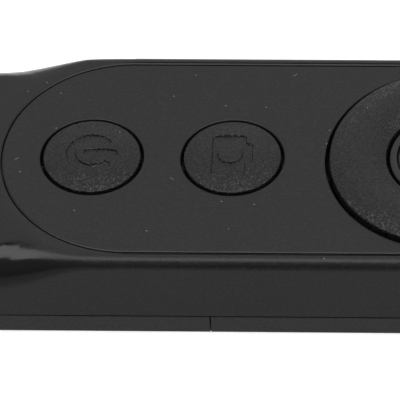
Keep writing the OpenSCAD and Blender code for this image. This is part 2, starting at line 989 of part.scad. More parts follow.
// A screw from below: its head's seat is at z
module screw(x, y, z, r, l, cap_r, cap_t) {
    slot_w = r / 2;
    color(steel_colour)
        translate([x, y, z])
            difference() {
                union() {
                    translate([0, 0, -cap_t])
                        cylinder(h = cap_t, r = cap_r);
                    cylinder(h = l, r = r);
                }
                for (turn = [0, 90])
                    rotate(turn)
                        translate([-cap_r / 2, -slot_w / 2, -cap_t - over])
                            cube([cap_r, slot_w, over + cap_t / 2]);
            }
}

module case_screws() {
    four_posts()
        screw(0, 0, cup_seat, screw_r, screw_l, head_r, head_t);
    screw(shelf_post_x, 0, shelf_seat, screw_r, shelf_screw_l, head_r, head_t);
}

module board_screws() {
    for (side = [-1, 1])
        screw(board_post.x, side * board_post.y, board_z, board_screw_r, board_screw_l,
            board_head_r, board_head_t);
    screw(board_end_post_x, 0, board_z, board_screw_r, board_screw_l, board_head_r,
        board_head_t);
}

upper_shell();
top_panel();
lower_shell();
battery_door();
power_button();
camera_button();
dpad_ring();
centre_button();
trim_ring();
keypad_mat();
power_dome();
camera_dome();
centre_dome();
dpad_rubber();
circuit_board();
contact_pads();
radio_module();
shield_can();
crystal();
antenna();
chip_parts();
indicator_led();
light_pipe();
coin_cell();
cell_holder();
positive_clip();
negative_spring();
case_screws();
board_screws();
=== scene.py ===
"""Dresses the page turner remote: smooth moulded shells, keys with engraved signs, and its studio.

Every length is in metres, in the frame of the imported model: +X towards the ring's end, +Z up.
"""
import math

import bpy
import numpy as np
from mathutils import Matrix, Vector
from mathutils.geometry import delaunay_2d_cdt, tessellate_polygon


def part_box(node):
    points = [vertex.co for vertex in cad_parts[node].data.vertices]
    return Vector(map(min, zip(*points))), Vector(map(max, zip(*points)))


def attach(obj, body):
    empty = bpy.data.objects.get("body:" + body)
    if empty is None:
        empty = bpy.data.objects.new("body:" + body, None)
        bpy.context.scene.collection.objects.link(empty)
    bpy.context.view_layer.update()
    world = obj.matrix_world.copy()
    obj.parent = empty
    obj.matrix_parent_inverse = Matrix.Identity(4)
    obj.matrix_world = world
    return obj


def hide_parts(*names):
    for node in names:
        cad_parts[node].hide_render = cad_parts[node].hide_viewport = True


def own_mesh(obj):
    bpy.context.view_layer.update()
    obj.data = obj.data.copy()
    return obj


bl_info = {
    "name": "Page Turner Remote",
    "version": (1, 0, 0),
    "blender": (4, 5, 0),
    "location": "View3D > Sidebar > Remote",
    "description": "Builds the visible pieces of a handheld page turner remote and its studio",
    "category": "Add Mesh",
}

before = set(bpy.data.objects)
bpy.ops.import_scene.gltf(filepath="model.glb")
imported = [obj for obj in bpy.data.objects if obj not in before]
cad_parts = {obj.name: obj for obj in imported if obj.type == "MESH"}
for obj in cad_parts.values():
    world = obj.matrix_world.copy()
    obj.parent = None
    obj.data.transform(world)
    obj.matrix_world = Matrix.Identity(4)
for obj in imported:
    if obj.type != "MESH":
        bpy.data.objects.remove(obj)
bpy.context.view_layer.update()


def low(node):
    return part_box(node)[0]


def high(node):
    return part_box(node)[1]


def middle(node):
    return (low(node) + high(node)) / 2


MM = 0.001

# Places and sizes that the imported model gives
TIP_X = high("upper_shell").x
HALF_W = high("upper_shell").y
LAND_Z = high("top_panel").z
PANEL_Z = low("top_panel").z
PANEL_R = high("top_panel").y
LAND_HALF = high("top_panel").x - PANEL_R
SEAM_Z = low("upper_shell").z
TRAY_TOP = high("battery_door").z
DOOR_X = high("battery_door").x
RING_X = middle("dpad_ring").x
RING_R = high("dpad_ring").x - RING_X
RING_TOP = high("dpad_ring").z
POWER_X = middle("power_button").x
CAMERA_X = middle("camera_button").x
BOARD_TOP = high("circuit_board").z
CELL_X = middle("coin_cell").x
CELL_R = high("coin_cell").y
CELL_Z = low("coin_cell").z
CELL_TOP = high("coin_cell").z
LAMP_X = middle("light_pipe").x


def heights(node, test):
    """The lowest and highest vertex of a node among those whose place passes a test."""
    found = [v.co.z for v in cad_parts[node].data.vertices if test(v.co)]
    return min(found), max(found)


def rim_heights(node, centre_x, radius):
    """The lowest and highest vertex of a round node beyond a radius."""
    return heights(node, lambda p: math.hypot(p.x - centre_x, p.y) > radius)


# Where the tray, its shelf and the door's tongues lie, read from the vertices in each one's stretch
TRAY_X = min(v.co.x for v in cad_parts["lower_shell"].data.vertices if abs(v.co.y) > HALF_W - MM)
SHELF_HALF = max(abs(v.co.y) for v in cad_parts["lower_shell"].data.vertices
                 if v.co.x < CELL_X - CELL_R - 3 * MM)
SHELF_Z, SHELF_TOP = heights("lower_shell", lambda p: CELL_X < p.x < DOOR_X - 5 * MM
                             and abs(p.y) < SHELF_HALF + 0.1 * MM)
RAIL_TOP = heights("lower_shell", lambda p: p.x < DOOR_X - 3 * MM
                   and abs(p.y) > SHELF_HALF + 0.2 * MM)[1]
TONGUE_Z, TONGUE_TOP = heights("battery_door", lambda p: SHELF_HALF < abs(p.y) < HALF_W - 1.7 * MM
                               and p.x > CELL_X - 0.83 * CELL_R and p.z > SHELF_Z)

# Sizes that several pieces share
CUP_R = 1.9 * MM
CUP_DEPTH = 1.7 * MM
SHANK_R = 0.95 * MM
BOSS_R = 2.9 * MM
BOSS_TOP = SEAM_Z + 0.5 * MM
SIDE_CEILING = BOARD_TOP + 0.5 * MM
TAIL_CEILING = BOARD_TOP + 2.2 * MM
RAIL_GAP = 0.4 * MM
KEY_SKIN = 1.1 * MM
PLUNGER_R = 1.5 * MM
TIP_BEVEL = 0.15 * MM
SHARP_ANGLE = 32.0


class HousingSettings(bpy.types.PropertyGroup):
    wall: bpy.props.FloatProperty(
        name="Wall", description="Wall thickness of the housing",
        default=0.0012, min=0.0008, unit="LENGTH", subtype="DISTANCE")
    corner_radius: bpy.props.FloatProperty(
        name="Corner radius", description="Radius of the four corners, seen from above",
        default=0.009, unit="LENGTH", subtype="DISTANCE")
    nose_radius: bpy.props.FloatProperty(
        name="Nose radius", description="Radius of the bowed end faces, seen from above",
        default=0.040, unit="LENGTH", subtype="DISTANCE")
    edge_radius: bpy.props.FloatProperty(
        name="Side edge", description="Edge radius along the straight sides",
        default=0.0014, unit="LENGTH", subtype="DISTANCE")
    tail_edge: bpy.props.FloatProperty(
        name="Tail edge", description="Edge radius on the long sides of the two ends",
        default=0.0042, unit="LENGTH", subtype="DISTANCE")
    nose_edge: bpy.props.FloatProperty(
        name="Nose edge", description="Edge radius at the two tips",
        default=0.0042, unit="LENGTH", subtype="DISTANCE")
    tail_fall: bpy.props.FloatProperty(
        name="Tail fall", description="Fall of the ends for each unit of length beyond the land",
        default=0.16, min=0.0, max=0.4, subtype="FACTOR")
    fan_start: bpy.props.FloatProperty(
        name="Fan start", description="Bearing at which the edge radius starts to grow",
        default=math.radians(76), unit="ROTATION", subtype="ANGLE")
    fan_end: bpy.props.FloatProperty(
        name="Fan end", description="Bearing at which the edge has its tail radius",
        default=math.radians(48), unit="ROTATION", subtype="ANGLE")
    crease: bpy.props.FloatProperty(
        name="Crease", description="Half width of the soft crease round the land",
        default=0.0008, unit="LENGTH", subtype="DISTANCE")
    foot_radius: bpy.props.FloatProperty(
        name="Foot radius", description="Radius of the edge round the underside",
        default=0.0003, unit="LENGTH", subtype="DISTANCE")
    land_rim: bpy.props.FloatProperty(
        name="Land's rim", description="Width of the land's round rim beyond the panel",
        default=0.00145, unit="LENGTH", subtype="DISTANCE")
    lip: bpy.props.FloatProperty(
        name="Lip", description="Width of the worn edges along the panel's groove",
        default=0.00026, unit="LENGTH", subtype="DISTANCE")
    hole_lip: bpy.props.FloatProperty(
        name="Hole lip", description="Width of the worn edges round the holes of the panel",
        default=0.00014, unit="LENGTH", subtype="DISTANCE")
    fine_edge: bpy.props.FloatProperty(
        name="Fine edge", description="Radius of the moulded edges along seams and holes",
        default=0.00007, unit="LENGTH", subtype="DISTANCE")
    groove: bpy.props.FloatProperty(
        name="Groove", description="Width of the groove round the top panel",
        default=0.00016, unit="LENGTH", subtype="DISTANCE")
    roof: bpy.props.FloatProperty(
        name="Roof", description="Thickness of the roof under the panel",
        default=0.001, unit="LENGTH", subtype="DISTANCE")
    floor: bpy.props.FloatProperty(
        name="Floor", description="Floor thickness of the tray",
        default=0.0014, unit="LENGTH", subtype="DISTANCE")
    door_floor: bpy.props.FloatProperty(
        name="Door floor", description="Floor thickness of the battery door",
        default=0.00135, unit="LENGTH", subtype="DISTANCE")
    colour: bpy.props.FloatVectorProperty(
        name="Colour", description="Colour of the housing's plastic",
        default=(0.0125, 0.0125, 0.0125), min=0, max=1, subtype="COLOR")


class KeySettings(bpy.types.PropertyGroup):
    radius: bpy.props.FloatProperty(
        name="Key radius", description="Radius of the round key caps",
        default=0.0059, unit="LENGTH", subtype="DISTANCE")
    gap: bpy.props.FloatProperty(
        name="Key gap", description="Gap round each key cap",
        default=0.0004, unit="LENGTH", subtype="DISTANCE")
    edge: bpy.props.FloatProperty(
        name="Key edge", description="Radius of the key cap's edge",
        default=0.0002, unit="LENGTH", subtype="DISTANCE")
    crown: bpy.props.FloatProperty(
        name="Crown", description="Rise of the key's dome from its edge to its middle",
        default=0.0008, unit="LENGTH", subtype="DISTANCE")
    sign_depth: bpy.props.FloatProperty(
        name="Sign depth", description="Depth of the engraved signs",
        default=0.00017, unit="LENGTH", subtype="DISTANCE")
    sign_edge: bpy.props.FloatProperty(
        name="Sign edge", description="Half width of the engraving's sloping wall",
        default=0.00005, unit="LENGTH", subtype="DISTANCE")
    colour: bpy.props.FloatVectorProperty(
        name="Colour", description="Colour of the keys' plastic",
        default=(0.012, 0.012, 0.012), min=0, max=1, subtype="COLOR")


class RingSettings(bpy.types.PropertyGroup):
    gap: bpy.props.FloatProperty(
        name="Ring gap", description="Gap round the rocking ring",
        default=0.0005, unit="LENGTH", subtype="DISTANCE")
    hole: bpy.props.FloatProperty(
        name="Ring hole", description="Inner radius of the rocking ring",
        default=0.0074, unit="LENGTH", subtype="DISTANCE")
    crown: bpy.props.FloatProperty(
        name="Ring crown", description="Rise of the ring's crest above its edges",
        default=0.00075, unit="LENGTH", subtype="DISTANCE")
    edge: bpy.props.FloatProperty(
        name="Ring edge", description="Radius of the ring's outer edge",
        default=0.00035, unit="LENGTH", subtype="DISTANCE")
    middle_radius: bpy.props.FloatProperty(
        name="Middle key", description="Radius of the middle key's cap",
        default=0.00605, unit="LENGTH", subtype="DISTANCE")
    middle_dish: bpy.props.FloatProperty(
        name="Dish", description="Depth of the middle key's dish",
        default=0.0003, unit="LENGTH", subtype="DISTANCE")
    trim_colour: bpy.props.FloatVectorProperty(
        name="Trim colour", description="Colour of the glossy ring's plastic",
        default=(0.014, 0.0148, 0.0145), min=0, max=1, subtype="COLOR")


class StageSettings(bpy.types.PropertyGroup):
    azimuth: bpy.props.FloatProperty(
        name="Azimuth", description="Bearing of the view, where zero looks along +Y",
        default=math.radians(4.95), unit="ROTATION", subtype="ANGLE")
    elevation: bpy.props.FloatProperty(
        name="Elevation", description="Height of the camera above the horizon",
        default=math.radians(46.87), unit="ROTATION", subtype="ANGLE")
    roll: bpy.props.FloatProperty(
        name="Roll", description="Roll of the camera about its line of sight",
        default=math.radians(-3.226), unit="ROTATION", subtype="ANGLE")
    aim: bpy.props.FloatVectorProperty(
        name="Aim", description="Point of the land that the camera looks at",
        default=(-0.010403, -0.00702, LAND_Z), size=3, unit="LENGTH", subtype="TRANSLATION")
    distance: bpy.props.FloatProperty(
        name="Distance", description="Distance of the camera from its aim",
        default=1.0, unit="LENGTH", subtype="DISTANCE")
    lens: bpy.props.FloatProperty(
        name="Lens", description="Focal length in millimetres",
        default=748.9, min=50.0)
    floor_colour: bpy.props.FloatVectorProperty(
        name="Floor colour", description="Colour of the floor",
        default=(0.6, 0.6, 0.6), min=0, max=1, subtype="COLOR")


# Meshes laid loop by loop

class Form:
    """Points and faces of one piece; its loops run anticlockwise round material, clockwise round holes."""

    def __init__(self):
        self.points = []
        self.faces = []
        self.tail = {}

    def loop(self, points):
        start = len(self.points)
        self.points.extend([tuple(float(v) for v in p) for p in points])
        return list(range(start, len(self.points)))

    def bridge(self, a, b, closed=True):
        count = len(a)
        for i in range(count if closed else count - 1):
            j = (i + 1) % count
            self.faces.append((a[i], a[j], b[j], b[i]))

    def sweep(self, rows, closed=True):
        """Joins rows of points one after another and gives the loops."""
        loops = [self.loop(row) for row in rows]
        for a, b in zip(loops, loops[1:]):
            self.bridge(a, b, closed)
        return loops

    def mesh(self, name):
        """The form as a new mesh."""
        made = bpy.data.meshes.new(name)
        made.from_pydata(self.points, [], self.faces)
        return made

    def cap(self, loops, towards):
        """Fills the first loop, less the others, with faces that look along towards."""
        facing = Vector(towards)
        drop = max(range(3), key=lambda k: abs(facing[k]))
        keep = [k for k in range(3) if k != drop]
        flat = [i for loop in loops for i in loop]
        outlines = [[Vector((self.points[i][keep[0]], self.points[i][keep[1]], 0)) for i in loop]
                    for loop in loops]
        for triangle in tessellate_polygon(outlines):
            face = [flat[k] for k in triangle]
            a, b, c = (Vector(self.points[i]) for i in face)
            normal = (b - a).cross(c - a)
            if normal.length_squared == 0:
                continue
            self.faces.append(tuple(face if normal.dot(facing) > 0 else face[::-1]))


def circle(centre, radius, z, count=96, clockwise=False):
    turn = -1 if clockwise else 1
    angles = [turn * 2 * math.pi * i / count for i in range(count)]
    return [(centre[0] + radius * math.cos(a), centre[1] + radius * math.sin(a), z) for a in angles]


def rounded_rows(low_z, high_z, edge, steps=3):
    """Insets and heights of a wall with rounded edges, from its bottom to its top."""
    bends = [math.pi / 2 * i / steps for i in range(steps + 1)]
    bottom = [(edge * (1 - math.sin(a)), low_z + edge * (1 - math.cos(a))) for a in bends]
    top = [(inset, low_z + high_z - z) for inset, z in reversed(bottom)]
    return bottom + top


LIP_END = 0.03 * MM


def lip_rows(lip):
    """Insets and drops of a small worn edge on a flat, from the wall to the flat."""
    return [(0, 0.46 * lip), (0.33 * lip, 0.2 * lip), (0.66 * lip, 0.07 * lip), (0.97 * lip, 0),
            (lip + LIP_END, 0)]


def offset(outline, inset):
    """Moves a closed outline sideways, to its left, which is inwards where it runs anticlockwise."""
    points = np.array([p[:2] for p in outline], float)
    ahead = np.roll(points, -1, 0) - points
    ahead /= np.maximum(np.linalg.norm(ahead, axis=1)[:, None], 1e-12)
    behind = np.roll(ahead, 1, 0)
    normal = np.stack([-(ahead + behind)[:, 1], (ahead + behind)[:, 0]], 1)
    length = np.linalg.norm(normal, axis=1)
    return points + normal * (2 * inset / length ** 2)[:, None]


def at_height(points, z):
    return [(p[0], p[1], z) for p in points]


def plate(form, outline, holes, low_z, high_z, edge):
    """A flat plate with rounded edges; holes are clockwise outlines."""
    rows = rounded_rows(low_z, high_z, edge)
    swept = [form.sweep([at_height(offset(line, inset), z) for inset, z in rows])
             for line in [outline] + holes]
    form.cap([loops[0] for loops in swept], (0, 0, -1))
    form.cap([loops[-1] for loops in swept], (0, 0, 1))


def turned(form, centre, profile, count=128, clockwise=False):
    """Turns a profile of (radius, height) pairs about a vertical axis and gives its loops."""
    return form.sweep([circle(centre, r, z, count, clockwise) for r, z in profile])


def turned_solid(form, centre, profile, count=64):
    """A turned solid whose profile starts and ends at flat caps."""
    loops = turned(form, centre, profile, count)
    form.cap([loops[0]], (0, 0, -1))
    form.cap([loops[-1]], (0, 0, 1))


def turned_ring(form, centre, profile, count=128):
    """A turned ring whose profile closes on itself."""
    loops = turned(form, centre, profile, count)
    form.bridge(loops[-1], loops[0])


def arc(centre, radius, start, end, steps):
    """Points of an arc, with its angles in degrees."""
    angles = [math.radians(start + (end - start) * i / steps) for i in range(steps + 1)]
    return [(centre[0] + radius * math.cos(a), centre[1] + radius * math.sin(a)) for a in angles]


def placed(name, mesh):
    """Puts a mesh into the scene as an object."""
    thing = bpy.data.objects.new(name, mesh)
    bpy.context.scene.collection.objects.link(thing)
    return thing


def soften(thing, sharp):
    """Smooth shading with edges sharp past an angle in degrees, and flat normals on the large faces."""
    thing.data.shade_smooth()
    thing.data.set_sharp_from_angle(angle=math.radians(sharp))
    normals = thing.modifiers.new("normals", "WEIGHTED_NORMAL")
    normals.keep_sharp = True
    normals.weight = 100


def piece(name, form, body, material, replaced, sharp=SHARP_ANGLE):
    """Makes a form an object that rides on a body in place of CAD nodes."""
    mesh = form.mesh(name)
    mesh.validate()
    if form.tail:
        layer = mesh.attributes.new("tail", "FLOAT", "POINT")
        layer.data.foreach_set("value", [form.tail.get(i, 0.0) for i in range(len(mesh.vertices))])
    mesh.materials.append(material)
    thing = placed(name, mesh)
    soften(thing, sharp)
    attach(thing, body)
    if replaced:
        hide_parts(*replaced)
    return thing


# Outlines of the housing

WALL_STEPS = 48
CORNER_STEPS = 40
NOSE_STEPS = 20
EDGE_STEPS = 18
CREASE_STEPS = 8
EDGE_REACH_SHARE = 0.92
CREASE_REACH_SHARE = 0.45


def plan_quarter(s, inset):
    """One quarter of the plan, from the land's end round to the tip."""
    half = HALF_W - inset
    corner = s.corner_radius - inset
    nose = s.nose_radius - inset
    nose_x = TIP_X - s.nose_radius
    corner_x = nose_x + math.sqrt((nose - corner) ** 2 - (half - corner) ** 2)
    turn = math.atan2(half - corner, corner_x - nose_x)
    wall = [(LAND_HALF + (corner_x - LAND_HALF) * i / WALL_STEPS, half) for i in range(WALL_STEPS + 1)]
    bend = [math.pi / 2 - (math.pi / 2 - turn) * i / CORNER_STEPS for i in range(1, CORNER_STEPS + 1)]
    bow = [turn * (1 - i / NOSE_STEPS) for i in range(1, NOSE_STEPS + 1)]
    return (wall
            + [(corner_x + corner * math.cos(a), half - corner + corner * math.sin(a)) for a in bend]
            + [(nose_x + nose * math.cos(a), nose * math.sin(a)) for a in bow])


def plan(s, inset):
    """The whole plan outline, anticlockwise from the tip at +X."""
    q = plan_quarter(s, inset)
    return np.array(
        q[::-1] + [(-x, y) for x, y in q]
        + [(-x, -y) for x, y in q[-2::-1]] + [(x, -y) for x, y in q[:-1]])


def land_line(outline):
    """The points of the land's middle line that lie nearest to the points of an outline."""
    centre = np.zeros_like(outline)
    centre[:, 0] = np.clip(outline[:, 0], -LAND_HALF, LAND_HALF)
    return centre


def stadium(radius, outline):
    """The points of a stadium round the land that lie beside the points of an outline."""
    centre = land_line(outline)
    way = outline - centre
    return centre + radius * way / np.linalg.norm(way, axis=1)[:, None]


def eased(value):
    """A share from none to one, with a soft start and end."""
    v = np.clip(value, 0, 1)
    return v * v * (3 - 2 * v)


def skin_rows(s):
    """Rows of points up the outside of the upper shell, from the seam to the panel's recess."""
    outer = plan(s, 0)
    centre = np.zeros_like(outer)
    centre[:, 0] = np.sign(outer[:, 0]) * LAND_HALF
    beyond = np.abs(outer[:, 0]) > LAND_HALF + 1e-9
    way = outer - centre
    reach_out = np.linalg.norm(way, axis=1)
    bearing = np.arctan2(np.abs(way[:, 1]), np.abs(way[:, 0]))
    side = HALF_W - s.edge_radius
    land_r = PANEL_R + s.land_rim
    land = np.minimum(land_r, side / np.maximum(np.abs(way[:, 1]) / reach_out, 0.001))
    rim = np.where(beyond[:, None], centre + way / reach_out[:, None] * land[:, None],
                   np.stack([outer[:, 0], np.sign(outer[:, 1]) * side], 1))
    run = np.linalg.norm(outer - rim, axis=1)
    u = (outer - rim) / run[:, None]
    growth = (s.edge_radius
              + (s.tail_edge - s.edge_radius) * eased((s.fan_start - bearing) / (s.fan_start - s.fan_end))
              + (s.nose_edge - s.tail_edge) * eased((s.fan_end - bearing) / s.fan_end))
    edge = np.where(beyond, growth, s.edge_radius)
    fall = np.where(beyond, s.tail_fall * np.maximum(reach_out - land_r, 0), 0)
    reach = np.minimum(edge / np.maximum(np.abs(u[:, 0]), np.abs(u[:, 1])),
                       EDGE_REACH_SHARE * run)
    low_z = LAND_Z - fall - edge
    corner_z = LAND_Z - fall
    high_z = corner_z + fall * reach / run

    def row(points, z):
        return np.column_stack([points, np.broadcast_to(z, len(points))])

    rows = []
    for t in (0.0, 0.25, 0.5, 0.75, 1.0):
        a = math.pi / 2 * t
        rows.append(row(outer - u * (s.fine_edge * (1 - math.sin(a))),
                        SEAM_Z + s.fine_edge * (1 - math.cos(a))))
    rows.append(row(outer, SEAM_Z + (low_z - SEAM_Z) * 0.5))
    weight = math.sqrt(0.5)
    for j in range(EDGE_STEPS + 1):
        t = j / EDGE_STEPS
        a, b, c = (1 - t) ** 2, 2 * t * (1 - t) * weight, t * t
        total = a + b + c
        back = c * reach / total
        rows.append(row(outer - u * back[:, None], (a * low_z + b * corner_z + c * high_z) / total))
    blend = np.minimum(s.crease, CREASE_REACH_SHARE * (run - reach))
    slope = fall / run
    for t in (0.25, 0.5, 0.75):
        back = reach + (run - blend - reach) * t
        rows.append(row(outer - u * back[:, None], corner_z + slope * back))
    for j in range(CREASE_STEPS + 1):
        t = j / CREASE_STEPS
        back = run + blend * (2 * t - 1)
        z = (1 - t) ** 2 * (LAND_Z - slope * blend) + (2 * t * (1 - t) + t * t) * LAND_Z
        rows.append(row(outer - u * back[:, None], z))
    recess = PANEL_R + s.groove
    for inset, drop in reversed(lip_rows(s.lip)):
        rows.append(row(stadium(recess + inset, outer), LAND_Z - drop))
    rows.append(row(stadium(recess, outer), PANEL_Z))
    return rows


TAIL_START = HALF_W - 0.3 * MM
TAIL_WIDTH = 2.6 * MM


def tail_share(points):
    """How far each point lies out on an end: none on the land, one where the end is smooth."""
    spots = np.array([p[:2] for p in points], float)
    past = np.maximum(np.abs(spots[:, 0]) - LAND_HALF, 0)
    return np.where(past > 0, eased((np.hypot(past, spots[:, 1]) - TAIL_START) / TAIL_WIDTH), 0)


def key_holes(context):
    """Centre and radius of the three holes through the roof."""
    keys = context.scene.remote_keys
    key_r = keys.radius + keys.gap
    return [((POWER_X, 0), key_r), ((CAMERA_X, 0), key_r),
            ((RING_X, 0), RING_R + context.scene.remote_ring.gap)]


def posts(form, s):
    """The screw posts inside the upper shell, as hollow turned solids that stand in its roof."""
    screw_room = 0.096 * MM
    for node, wide, bore, start in (("case_screws", 2.0 * MM, 0.89 * MM, SEAM_Z + 0.55 * MM),
                                    ("board_screws", 1.7 * MM, 0.74 * MM, BOARD_TOP)):
        for x, y, top in screw_spots(node):
            under_land = math.hypot(max(abs(x) - LAND_HALF, 0), y) < HALF_W - s.wall
            end = (PANEL_Z - s.roof if under_land else TAIL_CEILING) + s.roof / 2
            turned_ring(form, (x, y), [(bore, start), (wide, start), (wide, end), (bore, end),
                                       (bore, min(top + screw_room, end))], 32)


def screw_spots(node):
    """Middle and top of each separate screw of a node."""
    reach = 4 * MM
    groups = {}
    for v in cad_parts[node].data.vertices:
        key = next((k for k in groups if math.hypot(v.co.x - k[0], v.co.y - k[1]) < reach), None)
        if key is None:
            key = (v.co.x, v.co.y)
            groups[key] = []
        groups[key].append(v.co.copy())
    found = []
    for points in groups.values():
        xs, ys, zs = zip(*points)
        found.append(((min(xs) + max(xs)) / 2, (min(ys) + max(ys)) / 2, max(zs)))
    return found


class REMOTE_OT_upper_shell(bpy.types.Operator):
    """Builds the upper shell with its flat land, falling ends and soft crease"""
    bl_idname = "remote.upper_shell"
    bl_label = "Upper shell"

    def execute(self, context):
        s = context.scene.remote_housing
        form = Form()
        tail_wall = s.wall + 2 * MM
        ceiling = PANEL_Z - s.roof
        outer = plan(s, 0)
        inner = plan(s, s.wall)
        vault = stadium(HALF_W - s.wall, outer)
        centre = land_line(outer)
        way = plan(s, tail_wall) - centre
        far = np.linalg.norm(way, axis=1)
        cavity = centre + way * (np.maximum(far, HALF_W - s.wall) / far)[:, None]
        inside = [at_height(vault, ceiling), at_height(vault, TAIL_CEILING),
                  at_height(cavity, TAIL_CEILING), at_height(cavity, SIDE_CEILING),
                  at_height(inner, SIDE_CEILING), at_height(inner, SEAM_Z)]
        loops = form.sweep(inside + skin_rows(s))
        walls = [form.sweep([circle(c, r, ceiling, 128, True), circle(c, r, PANEL_Z, 128, True)])
                 for c, r in key_holes(context)]
        form.cap([loops[0]] + [w[0] for w in walls], (0, 0, -1))
        form.cap([loops[-1]] + [w[-1] for w in walls], (0, 0, 1))
        for loop in loops:
            form.tail.update(zip(loop, tail_share([form.points[i] for i in loop])))
        posts(form, s)
        shell = piece("upper_shell_skin", form, "housing", housing_plastic(s.colour),
                      ["upper_shell"])
        pipe_room = 0.05 * MM
        hole_depth = 6 * MM
        drill(shell, (LAMP_X, 0, LAND_Z), pipe_radius() + pipe_room, hole_depth)
        return {"FINISHED"}


def pipe_radius():
    """Radius of the light pipe's top, from the CAD node's highest points."""
    top = high("light_pipe").z - 0.1 * MM
    return max(abs(v.co.y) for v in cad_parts["light_pipe"].data.vertices if v.co.z > top)


def drill(thing, top, radius, depth):
    """Cuts a round hole straight down into an object."""
    bit = Form()
    turned_solid(bit, (top[0], top[1]), [(radius, top[2] - depth), (radius, top[2] + depth / 2)], 48)
    cutter = placed("bit", bit.mesh("bit"))
    thing.modifiers.remove(thing.modifiers["normals"])
    cut = thing.modifiers.new("hole", "BOOLEAN")
    cut.operation = "DIFFERENCE"
    cut.solver = "EXACT"
    cut.object = cutter
    bpy.context.view_layer.update()
    graph = bpy.context.evaluated_depsgraph_get()
    made = bpy.data.meshes.new_from_object(thing.evaluated_get(graph))
    thing.modifiers.clear()
    thing.data = made
    soften(thing, SHARP_ANGLE)
    bpy.data.objects.remove(cutter)


class REMOTE_OT_top_panel(bpy.types.Operator):
    """Builds the inlaid top panel with the holes of the keys"""
    bl_idname = "remote.top_panel"
    bl_label = "Top panel"

    def execute(self, context):
        s = context.scene.remote_housing
        form = Form()
        outline = stadium(PANEL_R, plan(s, 0))
        holes = [circle(c, r, 0, 160, True) for c, r in key_holes(context)]
        swept = []
        for line, lip in zip([outline] + holes, [s.lip] + [s.hole_lip] * len(holes)):
            rows = [(0, PANEL_Z)] + [(inset, LAND_Z - drop) for inset, drop in lip_rows(lip)]
            swept.append(form.sweep([at_height(offset(line, inset), z) for inset, z in rows]))
        form.cap([loops[0] for loops in swept], (0, 0, -1))
        form.cap([loops[-1] for loops in swept], (0, 0, 1))
        piece("top_panel_plate", form, "housing", panel_plastic(s.colour),
              ["top_panel"])
        return {"FINISHED"}


# The tray under the keys and the battery door, which share one outline

def half_outline(s, inset, cut_x, side):
    """The plan on one side of a cut, as an open line that runs anticlockwise."""
    points = plan(s, inset)
    half = HALF_W - inset
    kept = [tuple(p) for p in points if side * (p[0] - cut_x) > 0]
    if side > 0:
        turn = next(i for i, p in enumerate(kept) if p[1] < 0)
        kept = kept[turn:] + kept[:turn]
        return [(cut_x, -half)] + kept + [(cut_x, half)]
    return [(cut_x, half)] + kept + [(cut_x, -half)]


def side_rows(s):
    """Insets and heights up the outside of the tray and the door, over their rounded edges."""
    bends = [math.pi / 2 * i / 6 for i in range(7)]
    foot = [(s.foot_radius * (1 - math.sin(a)), s.foot_radius * (1 - math.cos(a))) for a in bends]
    return foot + [(s.fine_edge * (1 - math.cos(a)), TRAY_TOP - s.fine_edge * (1 - math.sin(a)))
                   for a in bends[::2]]


def screw_cup(form, spot, floor):
    """The loops of a screw's cup: up the cup, through the seat and down the boss."""
    return turned(form, spot, [(CUP_R, 0), (CUP_R, CUP_DEPTH), (SHANK_R, CUP_DEPTH),
                               (SHANK_R, BOSS_TOP), (BOSS_R, BOSS_TOP), (BOSS_R, floor)], 48, True)


def side_bars(form, s, end_x, inner, outer, low_z, high_z, edge):
    """Two long flat bars, one along each side, from behind the nose to end_x."""
    start_x = -TIP_X + s.corner_radius + 2 * s.wall
    for side in (-1, 1):
        y0, y1 = sorted((side * inner, side * outer))
        plate(form, [(start_x, y0), (end_x, y0), (end_x, y1), (start_x, y1)], [], low_z, high_z, edge)


class REMOTE_OT_tray(bpy.types.Operator):
    """Builds the tray under the keys with its screw cups, lip and battery shelf"""
    bl_idname = "remote.tray"
    bl_label = "Tray"

    def execute(self, context):
        s = context.scene.remote_housing
        form = Form()
        fit = 0.1 * MM
        lip = 0.7 * MM
        lip_top = SEAM_Z + 0.8 * MM

        def row(inset, z, cut_in=0):
            return at_height(half_outline(s, inset, TRAY_X + cut_in, 1), z)

        rows = [row(inset, z) for inset, z in side_rows(s)]
        rows += [row(s.wall + fit, TRAY_TOP, s.wall), row(s.wall + fit, lip_top, s.wall),
                 row(s.wall + fit + lip, lip_top, s.wall + lip),
                 row(s.wall + fit + lip, s.floor, s.wall + lip)]
        loops = form.sweep(rows)
        cups = [screw_cup(form, (x, y), s.floor) for x, y, _ in screw_spots("case_screws") if x > TRAY_X]
        form.cap([loops[0]] + [c[0] for c in cups], (0, 0, -1))
        form.cap([loops[-1]] + [c[-1] for c in cups], (0, 0, 1))
        self.shelf(form, s)
        piece("tray_shell", form, "housing", tray_plastic(s.colour), ["lower_shell"])
        return {"FINISHED"}

    def shelf(self, form, s):
        """The shelf that carries the cell, with its rails and the screw's cup."""
        root = TRAY_X + s.wall * 0.8
        shelf_inset = s.wall + 0.2 * MM
        rail_lap = 0.1 * MM
        cell_room = 0.4 * MM
        outline = clip_box(plan(s, shelf_inset), low("lower_shell").x, root, -SHELF_HALF, SHELF_HALF)
        spot = next((x, y) for x, y, _ in screw_spots("case_screws") if x < TRAY_X)
        cell_hole = circle((CELL_X, 0), CELL_R + cell_room, 0, 96, True)
        cup_hole = circle(spot, CUP_R, 0, 32, True)
        plate(form, outline, [cell_hole, cup_hole], SHELF_Z, SHELF_TOP, s.fine_edge)
        side_bars(form, s, root, SHELF_HALF - rail_lap, HALF_W - s.wall - RAIL_GAP, SHELF_Z, RAIL_TOP,
                  s.fine_edge)
        seat = SHELF_Z + 1.15 * MM
        start = (SHELF_Z + SHELF_TOP) / 2
        turned_ring(form, spot, [(CUP_R, start), (BOSS_R, start), (BOSS_R, BOSS_TOP),
                                 (SHANK_R, BOSS_TOP), (SHANK_R, seat), (CUP_R, seat)], 48)


